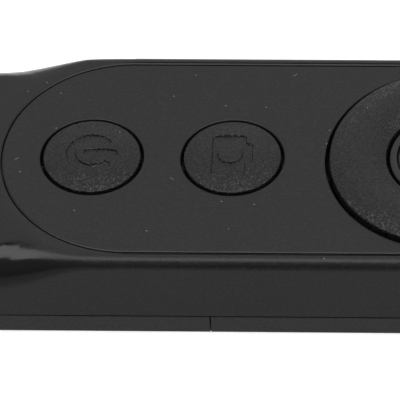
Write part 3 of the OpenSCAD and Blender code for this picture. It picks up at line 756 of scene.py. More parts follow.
def clip_box(points, x0, x1, y0, y1):
    """Cuts a convex outline to a rectangle."""
    outline = [tuple(p) for p in points]
    for axis, limit, keep in ((0, x0, 1), (0, x1, -1), (1, y0, 1), (1, y1, -1)):
        cut = []
        for a, b in zip(outline, outline[1:] + outline[:1]):
            in_a, in_b = keep * (a[axis] - limit) >= 0, keep * (b[axis] - limit) >= 0
            if in_a:
                cut.append(a)
            if in_a != in_b:
                t = (limit - a[axis]) / (b[axis] - a[axis])
                cut.append(tuple(a[k] + t * (b[k] - a[k]) for k in range(2)))
        outline = [p for p, q in zip(cut, cut[1:] + cut[:1]) if math.dist(p, q) > 1e-7]
    return outline


class REMOTE_OT_battery_door(bpy.types.Operator):
    """Builds the sliding battery door with its tongues and grip grooves"""
    bl_idname = "remote.battery_door"
    bl_label = "Battery door"
    grooves = 5
    groove_depth = 0.3 * MM

    def execute(self, context):
        s = context.scene.remote_housing
        form = Form()
        rows = [at_height(half_outline(s, inset, DOOR_X, -1), z) for inset, z in
                side_rows(s) + [(s.wall, TRAY_TOP), (s.wall, s.door_floor)]]
        loops = form.sweep(rows, closed=False)
        pockets = [form.sweep([at_height(line, 0), at_height(line, self.groove_depth)])
                   for line in self.groove_lines()]
        form.cap([loops[0]] + [p[0] for p in pockets], (0, 0, -1))
        for p in pockets:
            form.cap([p[-1]], (0, 0, -1))
        form.cap([loops[-1]], (0, 0, 1))
        form.cap([[loop[0] for loop in loops] + [loop[-1] for loop in reversed(loops)]], (1, 0, 0))
        self.tongues(form, s)
        piece("battery_door_shell", form, "door", tray_plastic(s.colour),
              ["battery_door"])
        return {"FINISHED"}

    def groove_lines(self):
        """The outlines of the grip grooves, clockwise, with round ends."""
        half_l, half_w, pitch, from_tip = 7 * MM, 0.4 * MM, 1.8 * MM, 9 * MM
        start = -TIP_X + from_tip + half_w
        lines = []
        for i in range(self.grooves):
            x = start + i * pitch
            far = arc((x, half_l - half_w), half_w, 0, 180, 8)
            near = arc((x, half_w - half_l), half_w, 180, 360, 8)
            lines.append((far + near)[::-1])
        return lines

    def tongues(self, form, s):
        """The two tongues that run over the shelf's rails."""
        lap = 0.5 * MM
        end_room = 0.075 * MM
        side_bars(form, s, DOOR_X - s.wall + end_room, HALF_W - s.wall - RAIL_GAP - lap,
                  HALF_W - s.wall / 2, TONGUE_Z, TONGUE_TOP, s.fine_edge / 2)


# Round keys with engraved signs

def capsule(x0, x1, y, radius):
    """An anticlockwise outline with round ends along X."""
    return arc((x1, y), radius, -90, 90, 12) + arc((x0, y), radius, 90, 270, 12)


def open_ring(radius, line, gap):
    """An anticlockwise outline of an arc with round ends, open towards +X by gap degrees each way."""
    mid = radius - line / 2
    half = line / 2
    ends = [(mid * math.cos(math.radians(a)), mid * math.sin(math.radians(a))) for a in (-gap, gap)]
    return (arc((0, 0), mid + half, gap, 360 - gap, 72)[:-1]
            + arc(ends[0], half, -gap, 180 - gap, 12)[:-1]
            + arc((0, 0), mid - half, 360 - gap, gap, 56)[:-1]
            + arc(ends[1], half, 180 + gap, 360 + gap, 12)[:-1])


def rounded_corners(corners, radius, steps=5):
    """Rounds the corners of an outline whose sides meet at right angles."""
    points = []
    count = len(corners)
    for i, corner in enumerate(corners):
        here = Vector(corner)
        back = (Vector(corners[i - 1]) - here).normalized()
        ahead = (Vector(corners[(i + 1) % count]) - here).normalized()
        start, end, pivot = here + back * radius, here + ahead * radius, here + (back + ahead) * radius
        for k in range(steps + 1):
            t = k / steps
            way = (start - pivot).lerp(end - pivot, t).normalized() * radius
            points.append(tuple(pivot + way))
    return points


def power_sign():
    """Outlines of the power sign, each with the level inside it: one is sunk, zero is not."""
    line, radius, opening = 1.05 * MM, 3.05 * MM, 47
    bar = capsule(-0.4 * MM, 2.62 * MM, 0, line / 2)
    return [(open_ring(radius, line, opening), 1), (bar, 1)]


def camera_sign():
    """Outlines of a camera seen from its front: a sunk body with a hump, and a raised lens."""
    back, front, top = -2.4 * MM, 1.6 * MM, 2.45 * MM
    near, far = -3.28 * MM, 3.08 * MM
    hump_near, hump_far = -1.38 * MM, 1.68 * MM
    corner, lens_r, lens_spot = 0.3 * MM, 1.5 * MM, (-0.25 * MM, -0.1 * MM)
    body = rounded_corners([(back, near), (front, near), (front, hump_near), (top, hump_near),
                            (top, hump_far), (front, hump_far), (front, far), (back, far)], corner)
    return [(body, 1), ([p[:2] for p in circle(lens_spot, lens_r, 0, 48)], 0)]


def inside(point, outline):
    """Whether a point lies in an outline, by the crossings of a ray."""
    x, y = point
    hit = False
    for (x0, y0), (x1, y1) in zip(outline, outline[1:] + outline[:1]):
        if (y0 > y) != (y1 > y) and x < (x1 - x0) * (y - y0) / (y1 - y0) + x0:
            hit = not hit
    return hit


def refined(outline, step):
    """Adds points to an outline so that no side of it is longer than step."""
    points = []
    for a, b in zip(outline, outline[1:] + outline[:1]):
        parts = max(1, math.ceil(math.dist(a, b) / step))
        points += [(a[0] + (b[0] - a[0]) * k / parts, a[1] + (b[1] - a[1]) * k / parts)
                   for k in range(parts)]
    return points


SIGN_STEP = 0.35 * MM
TOP_STEP = 0.33 * MM
TOP_ROOM = 0.35 * TOP_STEP


def engraved_top(form, centre, rim, dome, sign, depth, slope):
    """Fills a rim with a domed top that carries a sunk sign; dome gives a height for a radius."""
    flat = [(form.points[i][0] - centre, form.points[i][1]) for i in rim]
    points = list(flat)
    levels = [0.0] * len(flat)
    edges = [(i, (i + 1) % len(flat)) for i in range(len(flat))]
    lines = []
    for outline, level in sign:
        outline = refined([tuple(p) for p in outline], SIGN_STEP)
        lines.append((outline, level))
        out = 1 - level
        for shift, depth_share in ((-1.6 * slope, out), (-0.3 * slope, out + (level - out) * 0.4),
                                   (slope, level)):
            start = len(points)
            moved = offset(outline, shift)
            points += [tuple(p) for p in moved]
            levels += [depth_share] * len(moved)
            edges += [(start + i, start + (i + 1) % len(moved)) for i in range(len(moved))]
    drawn = np.array(points)
    for k in range(1, int(math.hypot(*flat[0]) / TOP_STEP)):
        r = k * TOP_STEP
        count = max(6, int(2 * math.pi * r / TOP_STEP))
        for i in range(count):
            a = 2 * math.pi * (i + 0.5 * (k % 2)) / count
            spot = (r * math.cos(a), r * math.sin(a))
            if np.min(np.hypot(drawn[:, 0] - spot[0], drawn[:, 1] - spot[1])) < TOP_ROOM:
                continue
            level = 0
            for outline, value in lines:
                if inside(spot, outline):
                    level = value
            points.append(spot)
            levels.append(level)
    points.append((0.0, 0.0))
    levels.append(next((v for o, v in reversed(lines) if inside((0.0, 0.0), o)), 0))
    scale = 1 / MM
    made, _, faces, origin, _, _ = delaunay_2d_cdt(
        [Vector((p[0] * scale, p[1] * scale)) for p in points], edges, [], 0, 1e-6)
    index = []
    for i, v in enumerate(made):
        source = min(origin[i]) if origin[i] else -1
        if 0 <= source < len(flat):
            index.append(rim[source])
            continue
        x, y = v.x * MM, v.y * MM
        level = levels[source] if source >= 0 else 0
        index.append(form.loop([(centre + x, y, dome(math.hypot(x, y)) - depth * level)])[0])
    for face in faces:
        ids = [index[k] for k in face]
        a, b, c = (Vector(form.points[i]) for i in ids[:3])
        if (b - a).cross(c - a).z < 0:
            ids.reverse()
        form.faces.append(tuple(ids))


def cap_underside(node, radius, roof, flange_z, flange_top, bevel):
    """The profile of a hollow key, from its plunger's tip to the foot of its cap's wall."""
    flange_r = high(node).y
    tip_z = low(node).z
    inner = radius - KEY_SKIN
    return [(PLUNGER_R - TIP_BEVEL, tip_z), (PLUNGER_R, tip_z + TIP_BEVEL), (PLUNGER_R, roof),
            (inner, roof), (inner, flange_z), (flange_r - bevel, flange_z), (flange_r, flange_z + bevel),
            (flange_r, flange_top - bevel), (flange_r - bevel, flange_top), (radius, flange_top)]


def key_cap(name, node, body, centre, sign, keys):
    """One round key: a hollow cap on a flange, with a plunger and a domed, engraved top."""
    form = Form()
    radius, edge = keys.radius, keys.edge
    lift, roof_drop, bevel, wall_end = 0.1 * MM, 1.0 * MM, 0.1 * MM, 0.3 * MM
    flange_z = rim_heights(node, centre, radius)[0]
    flange_top = rim_heights(node, centre, radius + wall_end)[1]
    crown_z = LAND_Z + lift + keys.crown
    ball = (radius ** 2 + keys.crown ** 2) / (2 * keys.crown)

    def dome(r):
        return crown_z - ball + math.sqrt(ball ** 2 - r * r)

    lean = math.asin((radius - edge) / ball)
    bend = arc((radius - edge, dome(radius - edge) - edge * math.cos(lean)), edge, 0,
               90 - math.degrees(lean), 7)
    underside = cap_underside(node, radius, LAND_Z - roof_drop, flange_z, flange_top, bevel)
    loops = turned(form, (centre, 0), underside + bend, 128)
    form.cap([loops[0]], (0, 0, -1))
    engraved_top(form, centre, loops[-1], dome, sign, keys.sign_depth, keys.sign_edge)
    piece(name, form, body, key_plastic(keys.colour), [node], sharp=26)


class REMOTE_OT_round_keys(bpy.types.Operator):
    """Builds the power key and the camera key with their engraved signs"""
    bl_idname = "remote.round_keys"
    bl_label = "Round keys"

    def execute(self, context):
        keys = context.scene.remote_keys
        key_cap("power_key_cap", "power_button", "power_key", POWER_X, power_sign(), keys)
        key_cap("camera_key_cap", "camera_button", "camera_key", CAMERA_X, camera_sign(), keys)
        return {"FINISHED"}


# The rocking ring and the key in its middle

class REMOTE_OT_ring(bpy.types.Operator):
    """Builds the crowned rocking ring with its plungers and tabs"""
    bl_idname = "remote.ring"
    bl_label = "Rocking ring"

    def execute(self, context):
        s = context.scene.remote_ring
        form = Form()
        outer, inner = RING_R, s.hole
        mid, half = (outer + inner) / 2, (outer - inner) / 2
        ball = (half ** 2 + s.crown ** 2) / (2 * s.crown)
        centre_z = RING_TOP - ball
        skin, rim = 1.3 * MM, 0.2 * MM
        skirt = rim_heights("dpad_ring", RING_X, outer - rim)[0]
        lip = PANEL_Z - 1.05 * MM
        under = RING_TOP - s.crown - skin

        def crown(r):
            return centre_z + math.sqrt(ball ** 2 - (r - mid) ** 2)

        steps = 28
        soft_in, soft_out = 0.25 * MM, s.edge
        across = [inner + soft_in + (outer - soft_out - inner - soft_in) * i / steps
                  for i in range(steps + 1)]
        lean = math.degrees(math.asin((across[-1] - mid) / ball))
        out_bend = arc((outer - soft_out, crown(outer - soft_out) - soft_out), soft_out,
                       90 - lean * 0.5, 0, 7)
        in_bend = arc((inner + soft_in, crown(inner + soft_in) - soft_in), soft_in, 180,
                      90 + lean * 0.5, 6)
        profile = [(inner, lip)] + in_bend + [(r, crown(r)) for r in across[1:-1]] + out_bend
        profile += [(outer, skirt), (outer - skin, skirt), (outer - skin, under), (inner + skin, under),
                    (inner + skin, lip)]
        turned_ring(form, (RING_X, 0), profile[::-1], 224)
        self.feet(form, mid, outer - skin / 2, skirt, under)
        piece("direction_ring", form, "ring", key_plastic(context.scene.remote_keys.colour),
              ["dpad_ring"])
        return {"FINISHED"}

    def feet(self, form, foot_at, tab_root, skirt, under):
        """Four plungers under the ring and four tabs on its rim."""
        bottom = low("dpad_ring").z
        foot_r, bevel, sunk = 1.4 * MM, 0.2 * MM, 0.5 * MM
        tab_span, tab_height, tab_edge = 20, 0.6 * MM, 0.08 * MM
        tab_r = max(math.hypot(v.co.x - RING_X, v.co.y)
                    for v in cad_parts["dpad_ring"].data.vertices)
        for i in range(4):
            a = math.pi / 2 * i
            spot = (RING_X + foot_at * math.cos(a), foot_at * math.sin(a))
            turned_solid(form, spot, [(foot_r - bevel, bottom), (foot_r, bottom + bevel),
                                      (foot_r, under + sunk)], 32)
            start = 45 + 90 * i - tab_span / 2
            outline = (arc((RING_X, 0), tab_r, start, start + tab_span, 8)
                       + arc((RING_X, 0), tab_root, start + tab_span, start, 8))
            plate(form, outline, [], skirt, skirt + tab_height, tab_edge)


class REMOTE_OT_middle_key(bpy.types.Operator):
    """Builds the middle key and the glossy ring round it"""
    bl_idname = "remote.middle_key"
    bl_label = "Middle key"

    def execute(self, context):
        s = context.scene.remote_ring
        form = Form()
        node = "centre_button"
        radius = s.middle_radius
        rim, bevel, flat_rim = 0.1 * MM, 0.08 * MM, 0.5 * MM
        flange_z, flange_top = rim_heights(node, RING_X, high(node).y - rim)
        top = high(node).z
        edge = 0.25 * MM
        dish = radius - flat_rim
        dish_steps = 12
        ball = (dish ** 2 + s.middle_dish ** 2) / (2 * s.middle_dish)
        profile = cap_underside(node, radius, top - s.middle_dish - KEY_SKIN, flange_z, flange_top,
                                bevel)
        profile += arc((radius - edge, top - edge), edge, 0, 90, 6)
        for i in range(dish_steps):
            r = dish * (1 - i / dish_steps)
            drop = math.sqrt(ball ** 2 - r * r) - math.sqrt(ball ** 2 - dish ** 2)
            profile.append((r, top - drop))
        loops = turned(form, (RING_X, 0), profile, 128)
        form.cap([loops[0]], (0, 0, -1))
        form.cap([loops[-1]], (0, 0, 1))
        piece("middle_key_cap", form, "middle_key", key_plastic(context.scene.remote_keys.colour),
              [node])
        self.trim(s, flange_top)
        return {"FINISHED"}

    def trim(self, s, foot_z):
        """The glossy ring, which slopes down a little to its outer edge."""
        form = Form()
        outer = high("trim_ring").x - RING_X
        fit = 0.05 * MM
        inner = s.middle_radius + fit
        top = high("trim_ring").z
        soft = 0.16 * MM
        fall = 0.1 * MM
        profile = [(inner, foot_z), (outer, foot_z)]
        profile += arc((outer - soft, top - fall - soft), soft, 0, 80, 6)
        profile += arc((inner + soft, top - soft), soft, 85, 180, 6)
        turned_ring(form, (RING_X, 0), profile, 192)
        piece("gloss_ring", form, "middle_key", gloss_plastic(s.trim_colour),
              ["trim_ring"])


class REMOTE_OT_coin_cell(bpy.types.Operator):
    """Builds the coin cell with its can, sealing ring and cap"""
    bl_idname = "remote.coin_cell"
    bl_label = "Coin cell"

    def execute(self, context):
        centre = (CELL_X, 0)
        crimp = CELL_TOP - 0.5 * MM
        foot, shoulder, cap_edge = 0.5 * MM, 0.6 * MM, 0.35 * MM
        cap_r = CELL_R - 1.3 * MM
        seal_in, seal_out = cap_r + 0.02 * MM, CELL_R - 1.07 * MM
        seal_low, seal_high = crimp - 0.42 * MM, crimp - 0.12 * MM
        can = Form()
        profile = arc((CELL_R - foot, CELL_Z + foot), foot, -90, 0, 8)
        profile += arc((CELL_R - shoulder, crimp - shoulder), shoulder, 0, 80, 8)
        mouth, mouth_fall, mouth_depth = CELL_R - 1.0 * MM, 0.05 * MM, 0.35 * MM
        profile += [(mouth, crimp - mouth_fall), (mouth - mouth_fall, crimp - mouth_depth)]
        turned_solid(can, centre, profile, 160)
        piece("cell_can", can, "housing", cell_steel("cell_steel_can"), ["coin_cell"])
        cap = Form()
        cap_root = crimp - 0.4 * MM
        cap_profile = [(cap_r, cap_root), (cap_r, CELL_TOP - cap_edge)]
        cap_profile += arc((cap_r - cap_edge, CELL_TOP - cap_edge), cap_edge, 0, 90, 8)
        turned_solid(cap, centre, cap_profile, 128)
        piece("cell_cap", cap, "housing", cell_steel("cell_steel_cap"), [])
        seal = Form()
        turned_ring(seal, centre, [(seal_in, seal_low), (seal_out, seal_low), (seal_out, seal_high),
                                   (seal_in, seal_high)], 96)
        piece("cell_seal", seal, "housing", black_moulding(), [])
        return {"FINISHED"}


# Materials

class Nodes:
    """A new material's node tree, with its shader and short calls for its nodes."""

    def __init__(self, name):
        self.material = bpy.data.materials.new(name)
        self.material.use_nodes = True
        self.tree = self.material.node_tree
        self.shader = self.tree.nodes["Principled BSDF"]
        self.place = self.new("TexCoord").outputs["Object"]

    def new(self, kind):
        return self.tree.nodes.new("ShaderNode" + kind)

    def link(self, source, target):
        self.tree.links.new(source, target)

    def noise(self, grain, detail=3.0, roughness=0.6, stretch=None):
        """Noise whose spots are about grain metres wide."""
        node = self.new("TexNoise")
        node.inputs["Scale"].default_value = 0.5 / grain
        node.inputs["Detail"].default_value = detail
        node.inputs["Roughness"].default_value = roughness
        place = self.place
        if stretch:
            mapping = self.new("Mapping")
            mapping.inputs["Scale"].default_value = stretch
            self.link(self.place, mapping.inputs["Vector"])
            place = mapping.outputs["Vector"]
        self.link(place, node.inputs["Vector"])
        return node.outputs["Fac"]

    def cells(self, size, feature="F1", place=None):
        node = self.new("TexVoronoi")
        node.feature = feature
        node.inputs["Scale"].default_value = 1 / size
        self.link(place or self.place, node.inputs["Vector"])
        return node

    def span(self, value, low_in, high_in, low_out, high_out):
        node = self.new("MapRange")
        node.inputs["From Min"].default_value = low_in
        node.inputs["From Max"].default_value = high_in
        node.inputs["To Min"].default_value = low_out
        node.inputs["To Max"].default_value = high_out
        self.link(value, node.inputs["Value"])
        return node.outputs["Result"]

    def mottle(self, grain, low_out, high_out, detail=3.0, stretch=None):
        """Soft noise between two values."""
        return self.span(self.noise(grain, detail, stretch=stretch), 0.3, 0.7, low_out, high_out)

    def axes(self, source):
        """The X, Y and Z of a vector."""
        parts = self.new("SeparateXYZ")
        self.link(source, parts.inputs["Vector"])
        return parts.outputs

    def normal_z(self):
        """How far a face looks up, from its own normal."""
        return self.axes(self.new("NewGeometry").outputs["True Normal"])["Z"]

    def vector(self, kind, a, b=None):
        node = self.new("VectorMath")
        node.operation = kind
        for socket, value in zip(node.inputs, (a, b)):
            if isinstance(value, tuple):
                socket.default_value = value
            elif value is not None:
                self.link(value, socket)
        return node.outputs["Vector"]

    def facets(self, size, tilt):
        """The face's normal, turned a little another way in each grain of its texture."""
        grains = self.cells(size)
        way = self.vector("SUBTRACT", grains.outputs["Color"], (0.5, 0.5, 0.5))
        way = self.vector("MULTIPLY", way, (tilt, tilt, tilt))
        face = self.new("NewGeometry").outputs["Normal"]
        return self.vector("NORMALIZE", self.vector("ADD", way, face))

    def soft_step(self, angle, start, end):
        """Zero before start and one after end, both in degrees, of an angle in radians."""
        return self.span(angle, math.radians(start), math.radians(end), 0, 1)

    def math(self, kind, a, b):
        node = self.new("Math")
        node.operation = kind
        for socket, value in zip(node.inputs, (a, b)):
            if isinstance(value, (int, float)):
                socket.default_value = value
            else:
                self.link(value, socket)
        return node.outputs["Value"]

    def mix(self, share, a, b):
        """A colour between a and b, by share."""
        node = self.new("Mix")
        node.data_type = "RGBA"
        self.link(share, node.inputs["Factor"])
        for socket, value in zip((node.inputs["A"], node.inputs["B"]), (a, b)):
            if isinstance(value, (tuple, list)):
                socket.default_value = (*value[:3], 1)
            else:
                self.link(value, socket)
        return node.outputs["Result"]

    def bump(self, height, distance, under=None):
        """A normal raised by height, over distance metres, above another normal."""
        node = self.new("Bump")
        node.inputs["Distance"].default_value = distance
        node.inputs["Strength"].default_value = 1.0
        self.link(height, node.inputs["Height"])
        if under is not None:
            self.link(under, node.inputs["Normal"])
        return node.outputs["Normal"]

    def feed(self, colour, roughness, normal, uniform=None):
        """Feeds the shader, sets its uniform sockets and gives the material."""
        for name, source in (("Base Color", colour), ("Roughness", roughness), ("Normal", normal)):
            self.link(source, self.shader.inputs[name])
        for name, value in (uniform or {}).items():
            self.shader.inputs[name].default_value = value
        return self.material

    def glow(self, strength):
        """White emission of a strength, as a shader."""
        node = self.new("Emission")
        self.link(strength, node.inputs["Strength"])
        return node.outputs["Emission"]

    def show(self, shader):
        """Puts a shader on the surface in place of the usual one."""
        self.tree.nodes.remove(self.shader)
        self.link(shader, self.tree.nodes["Material Output"].inputs["Surface"])


def shade(colour, share):
    """A colour made lighter or darker by a share."""
    return tuple(min(c * share, 1) for c in colour)


# Each kind of speck: the size of its cells, its length, its turn in radians, its radius and its tone
SPECKS = ((2.3 * MM, 1.4, 0.5, 0.022, 0.4), (2.7 * MM, 8, 0.7, 0.017, 0.16),
          (3.1 * MM, 6, 2.4, 0.016, 0.14))
SPECK_RARITY = 0.76


def dust(n, tone):
    """Strews pale specks and a few short fibres of lint over the upward faces."""
    upward = n.math("GREATER_THAN", n.normal_z(), 0.8)
    for size, length, turned_by, radius, pale in SPECKS:
        mapping = n.new("Mapping")
        mapping.vector_type = "TEXTURE"
        mapping.inputs["Rotation"].default_value = (0, 0, turned_by)
        mapping.inputs["Scale"].default_value = (length, 1, 1)
        n.link(n.place, mapping.inputs["Vector"])
        spots = n.cells(size, place=mapping.outputs["Vector"])
        spots.voronoi_dimensions = "2D"
        lone = n.math("GREATER_THAN", spots.outputs["Color"], SPECK_RARITY)
        dot = n.math("LESS_THAN", spots.outputs["Distance"], radius)
        tone = n.mix(n.math("MULTIPLY", upward, n.math("MULTIPLY", lone, dot)), tone, (pale, pale, pale))
    return tone


# What the smooth ends keep of the relief and the pale grit, and how rough they are
TAIL_RELIEF_SHARE = 0.06
TAIL_GRIT_SHARE = 0.3
TAIL_ROUGHNESS = 0.14


def matte_plastic(name, colour, grain, depth, rough, specks=True, tail=False, side_shine=0.24,
                  tilt=0.08):
    """Black moulded plastic with a fine spark-eroded grain, duller sides and a little dust."""
    made = bpy.data.materials.get(name + "_finish")
    if made:
        return made
    n = Nodes(name + "_finish")
    fine = n.noise(grain, 1.0, 0.5)
    coarse = n.noise(grain * 1.5, 1.0, 0.5)
    blotch = n.span(n.noise(9 * MM, 3.0, 0.5), 0.3, 0.7, 0, 1)
    tone = n.mix(blotch, shade(colour, 0.92), shade(colour, 1.1))
    grit = n.span(fine, 0.5, 0.75, 0, 0.7)
    relief = n.math("ADD", n.math("MULTIPLY", fine, 0.8), n.math("MULTIPLY", coarse, 0.5))
    roughness = n.mottle(1.4 * MM, rough - 0.03, rough + 0.03)
    if tail:
        mask = n.new("Attribute")
        mask.attribute_name = "tail"
        smooth = n.math("MULTIPLY", mask.outputs["Fac"], n.span(n.normal_z(), 0.05, 0.3, 0, 1))
        relief = n.math("MULTIPLY", relief, n.span(smooth, 0, 1, 1, TAIL_RELIEF_SHARE))
        grit = n.math("MULTIPLY", grit, n.span(smooth, 0, 1, 1, TAIL_GRIT_SHARE))
        roughness = n.math("SUBTRACT", roughness, n.span(smooth, 0, 1, 0, rough - TAIL_ROUGHNESS))
    tone = n.mix(grit, tone, shade(colour, 2.2))
    if specks:
        tone = dust(n, tone)
    up = n.normal_z()
    shine = n.math("MAXIMUM", n.span(up, 0.0, 0.4, side_shine, 0.1), n.span(up, 0.4, 0.6, 0.0, 0.5))
    n.link(shine, n.shader.inputs["Specular IOR Level"])
    grain_normal = n.bump(relief, depth, under=n.facets(grain * 1.1, tilt))
    return n.feed(tone, roughness, grain_normal, {"IOR": 1.42})


def housing_plastic(colour):
    return matte_plastic("housing_plastic", colour, grain=0.14 * MM, depth=0.03 * MM, rough=0.38,
                         tail=True, tilt=0.03)


def panel_plastic(colour):
    return matte_plastic("panel_plastic", colour, grain=0.14 * MM, depth=0.035 * MM, rough=0.38)


def tray_plastic(colour):
    return matte_plastic("tray_plastic", colour, grain=0.15 * MM, depth=0.022 * MM, rough=0.4,
                         side_shine=0.32)


def key_plastic(colour):
    return matte_plastic("key_plastic", colour, grain=0.13 * MM, depth=0.03 * MM, rough=0.25,
                         side_shine=0.5, tilt=0.54)


def black_moulding():
    return matte_plastic("black_moulding", (0.02, 0.02, 0.02), grain=0.12 * MM, depth=0.01 * MM,
                         rough=0.45, specks=False)


def gloss_plastic(colour):
    """Smooth black plastic with faint clouds and hairline scuffs."""
    n = Nodes("gloss_plastic")
    scuffs = n.span(n.noise(0.4 * MM, 4.0), 0.3, 0.75, 0.1, 0.2)
    return n.feed(n.mix(n.mottle(1.5 * MM, 0, 1), shade(colour, 0.85), shade(colour, 1.2)), scuffs,
                  n.bump(n.noise(0.15 * MM, 2.0), 0.002 * MM), {"IOR": 1.47})


def rubber():
    """Dark grey silicone with a soft sheen."""
    n = Nodes("silicone_rubber")
    return n.feed(n.mix(n.mottle(0.8 * MM, 0, 1, 4.0), (0.045, 0.046, 0.05), (0.07, 0.071, 0.075)),
                  n.mottle(0.3 * MM, 0.45, 0.65), n.bump(n.noise(0.1 * MM), 0.006 * MM),
                  {"Subsurface Weight": 0.25, "Subsurface Radius": (MM, MM, MM)})


def laminate():
    """Green board with copper tracks under its solder mask and a woven grain."""
    n = Nodes("board_laminate")
    tracks = n.cells(1.6 * MM, "DISTANCE_TO_EDGE")
    line = n.math("LESS_THAN", tracks.outputs["Distance"], 0.06)
    mask = n.mix(n.mottle(2 * MM, 0, 1), (0.012, 0.085, 0.035), (0.02, 0.12, 0.05))
    weave = n.noise(0.3 * MM, 1.0)
    height = n.math("ADD", n.math("MULTIPLY", line, 0.6), n.math("MULTIPLY", weave, 0.4))
    return n.feed(n.mix(line, mask, (0.05, 0.2, 0.07)), n.mottle(0.4 * MM, 0.25, 0.4),
                  n.bump(height, 0.012 * MM))


def metal(name, colour, rough, stretch=None):
    """Metal with brushed or mottled grain and fine scuffs."""
    made = bpy.data.materials.get(name + "_finish")
    if made:
        return made
    n = Nodes(name + "_finish")
    scuffs = n.span(n.noise(0.5 * MM, 5.0), 0.35, 0.7, 0, 1)
    return n.feed(n.mix(scuffs, shade(colour, 0.85), shade(colour, 1.1)),
                  n.mottle(0.25 * MM, rough - 0.07, rough + 0.1, 4.0, stretch),
                  n.bump(n.noise(0.08 * MM, 2.0, stretch=stretch), 0.004 * MM), {"Metallic": 1.0})


def cell_steel(name):
    return metal(name, (0.62, 0.61, 0.58), 0.26, stretch=(1, 0.08, 1))


def ceramic():
    """Fired ceramic with a chalky mottle."""
    n = Nodes("chip_ceramic")
    return n.feed(n.mix(n.mottle(0.5 * MM, 0, 1, 4.0), (0.36, 0.27, 0.17), (0.55, 0.47, 0.36)),
                  n.mottle(0.2 * MM, 0.4, 0.6), n.bump(n.noise(0.08 * MM), 0.006 * MM))


def lamp_epoxy():
    """Pale clear epoxy over a white base."""
    n = Nodes("lamp_epoxy")
    return n.feed(n.mix(n.mottle(0.4 * MM, 0, 1), (0.72, 0.71, 0.6), (0.85, 0.84, 0.76)),
                  n.mottle(0.2 * MM, 0.12, 0.25), n.bump(n.noise(0.1 * MM), 0.003 * MM),
                  {"Coat Weight": 0.5})


def clear_rod():
    """Frosted clear plastic."""
    n = Nodes("clear_rod")
    return n.feed(n.mix(n.mottle(0.6 * MM, 0, 1), (0.55, 0.58, 0.58), (0.68, 0.7, 0.7)),
                  n.mottle(0.15 * MM, 0.3, 0.45), n.bump(n.noise(0.1 * MM), 0.004 * MM),
                  {"Transmission Weight": 0.45})


def dress(nodes, material):
    """Gives CAD nodes that stay visible their material."""
    for node in nodes:
        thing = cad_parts[node]
        thing.data.materials.clear()
        thing.data.materials.append(material)


class REMOTE_OT_rubber_parts(bpy.types.Operator):
    """Makes the rubber domes and the ring's pad, and gives the keypad mat the rubber finish"""
    bl_idname = "remote.rubber_parts"
    bl_label = "Rubber parts"

    def execute(self, context):
        finish = rubber()
        for node, body, joint, keep in (("power_dome", "housing", "power_press", 0.76),
                                        ("camera_dome", "housing", "camera_press", 0.76),
                                        ("centre_dome", "housing", "middle_press", 0.76),
                                        ("dpad_rubber", "ring_pad", "ring_tilt_y", 0.77)):
            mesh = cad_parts[node].data.copy()
            mesh.materials.clear()
            mesh.materials.append(finish)
            thing = placed(node + "_rubber", mesh)
            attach(thing, body)
            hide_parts(node)
            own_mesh(thing)
        dress(["keypad_mat"], finish)
        return {"FINISHED"}


class REMOTE_OT_inner_finishes(bpy.types.Operator):
    """Gives the board, the contacts and the screws their finishes"""
    bl_idname = "remote.inner_finishes"
    bl_label = "Inner finishes"

    def execute(self, context):
        dress(["circuit_board", "radio_module"], laminate())
        dress(["contact_pads", "negative_spring"], metal("gold_plate", (0.8, 0.58, 0.24), 0.28))
        dress(["shield_can", "crystal"], metal("tinned_steel", (0.6, 0.6, 0.58), 0.34))
        dress(["antenna", "chip_parts"], ceramic())
        dress(["indicator_led"], lamp_epoxy())
        dress(["light_pipe"], clear_rod())
        dress(["cell_holder"], black_moulding())
        dress(["positive_clip"], metal("spring_steel", (0.66, 0.66, 0.63), 0.3, (1, 1, 0.1)))
        dress(["case_screws", "board_screws"], metal("screw_steel", (0.2, 0.2, 0.21), 0.36))
        return {"FINISHED"}


# Studio

def stand(name, form, material):
    """Puts a piece of the studio into the scene."""
    mesh = form.mesh(name)
    mesh.materials.append(material)
    thing = placed(name, mesh)
    return thing


def camera_turn(s):
    """The camera's axes: right, up and back, as the columns of a matrix."""
    az, el = s.azimuth, s.elevation
    ahead = Vector((-math.sin(az) * math.cos(el), math.cos(az) * math.cos(el), -math.sin(el)))
    right = Vector((math.cos(az), math.sin(az), 0))
    up = right.cross(ahead)
    c, k = math.cos(s.roll), math.sin(s.roll)
    rolled_right = right * c + up * k
    rolled_up = up * c - right * k
    return Matrix((rolled_right, rolled_up, -ahead)).transposed(), ahead


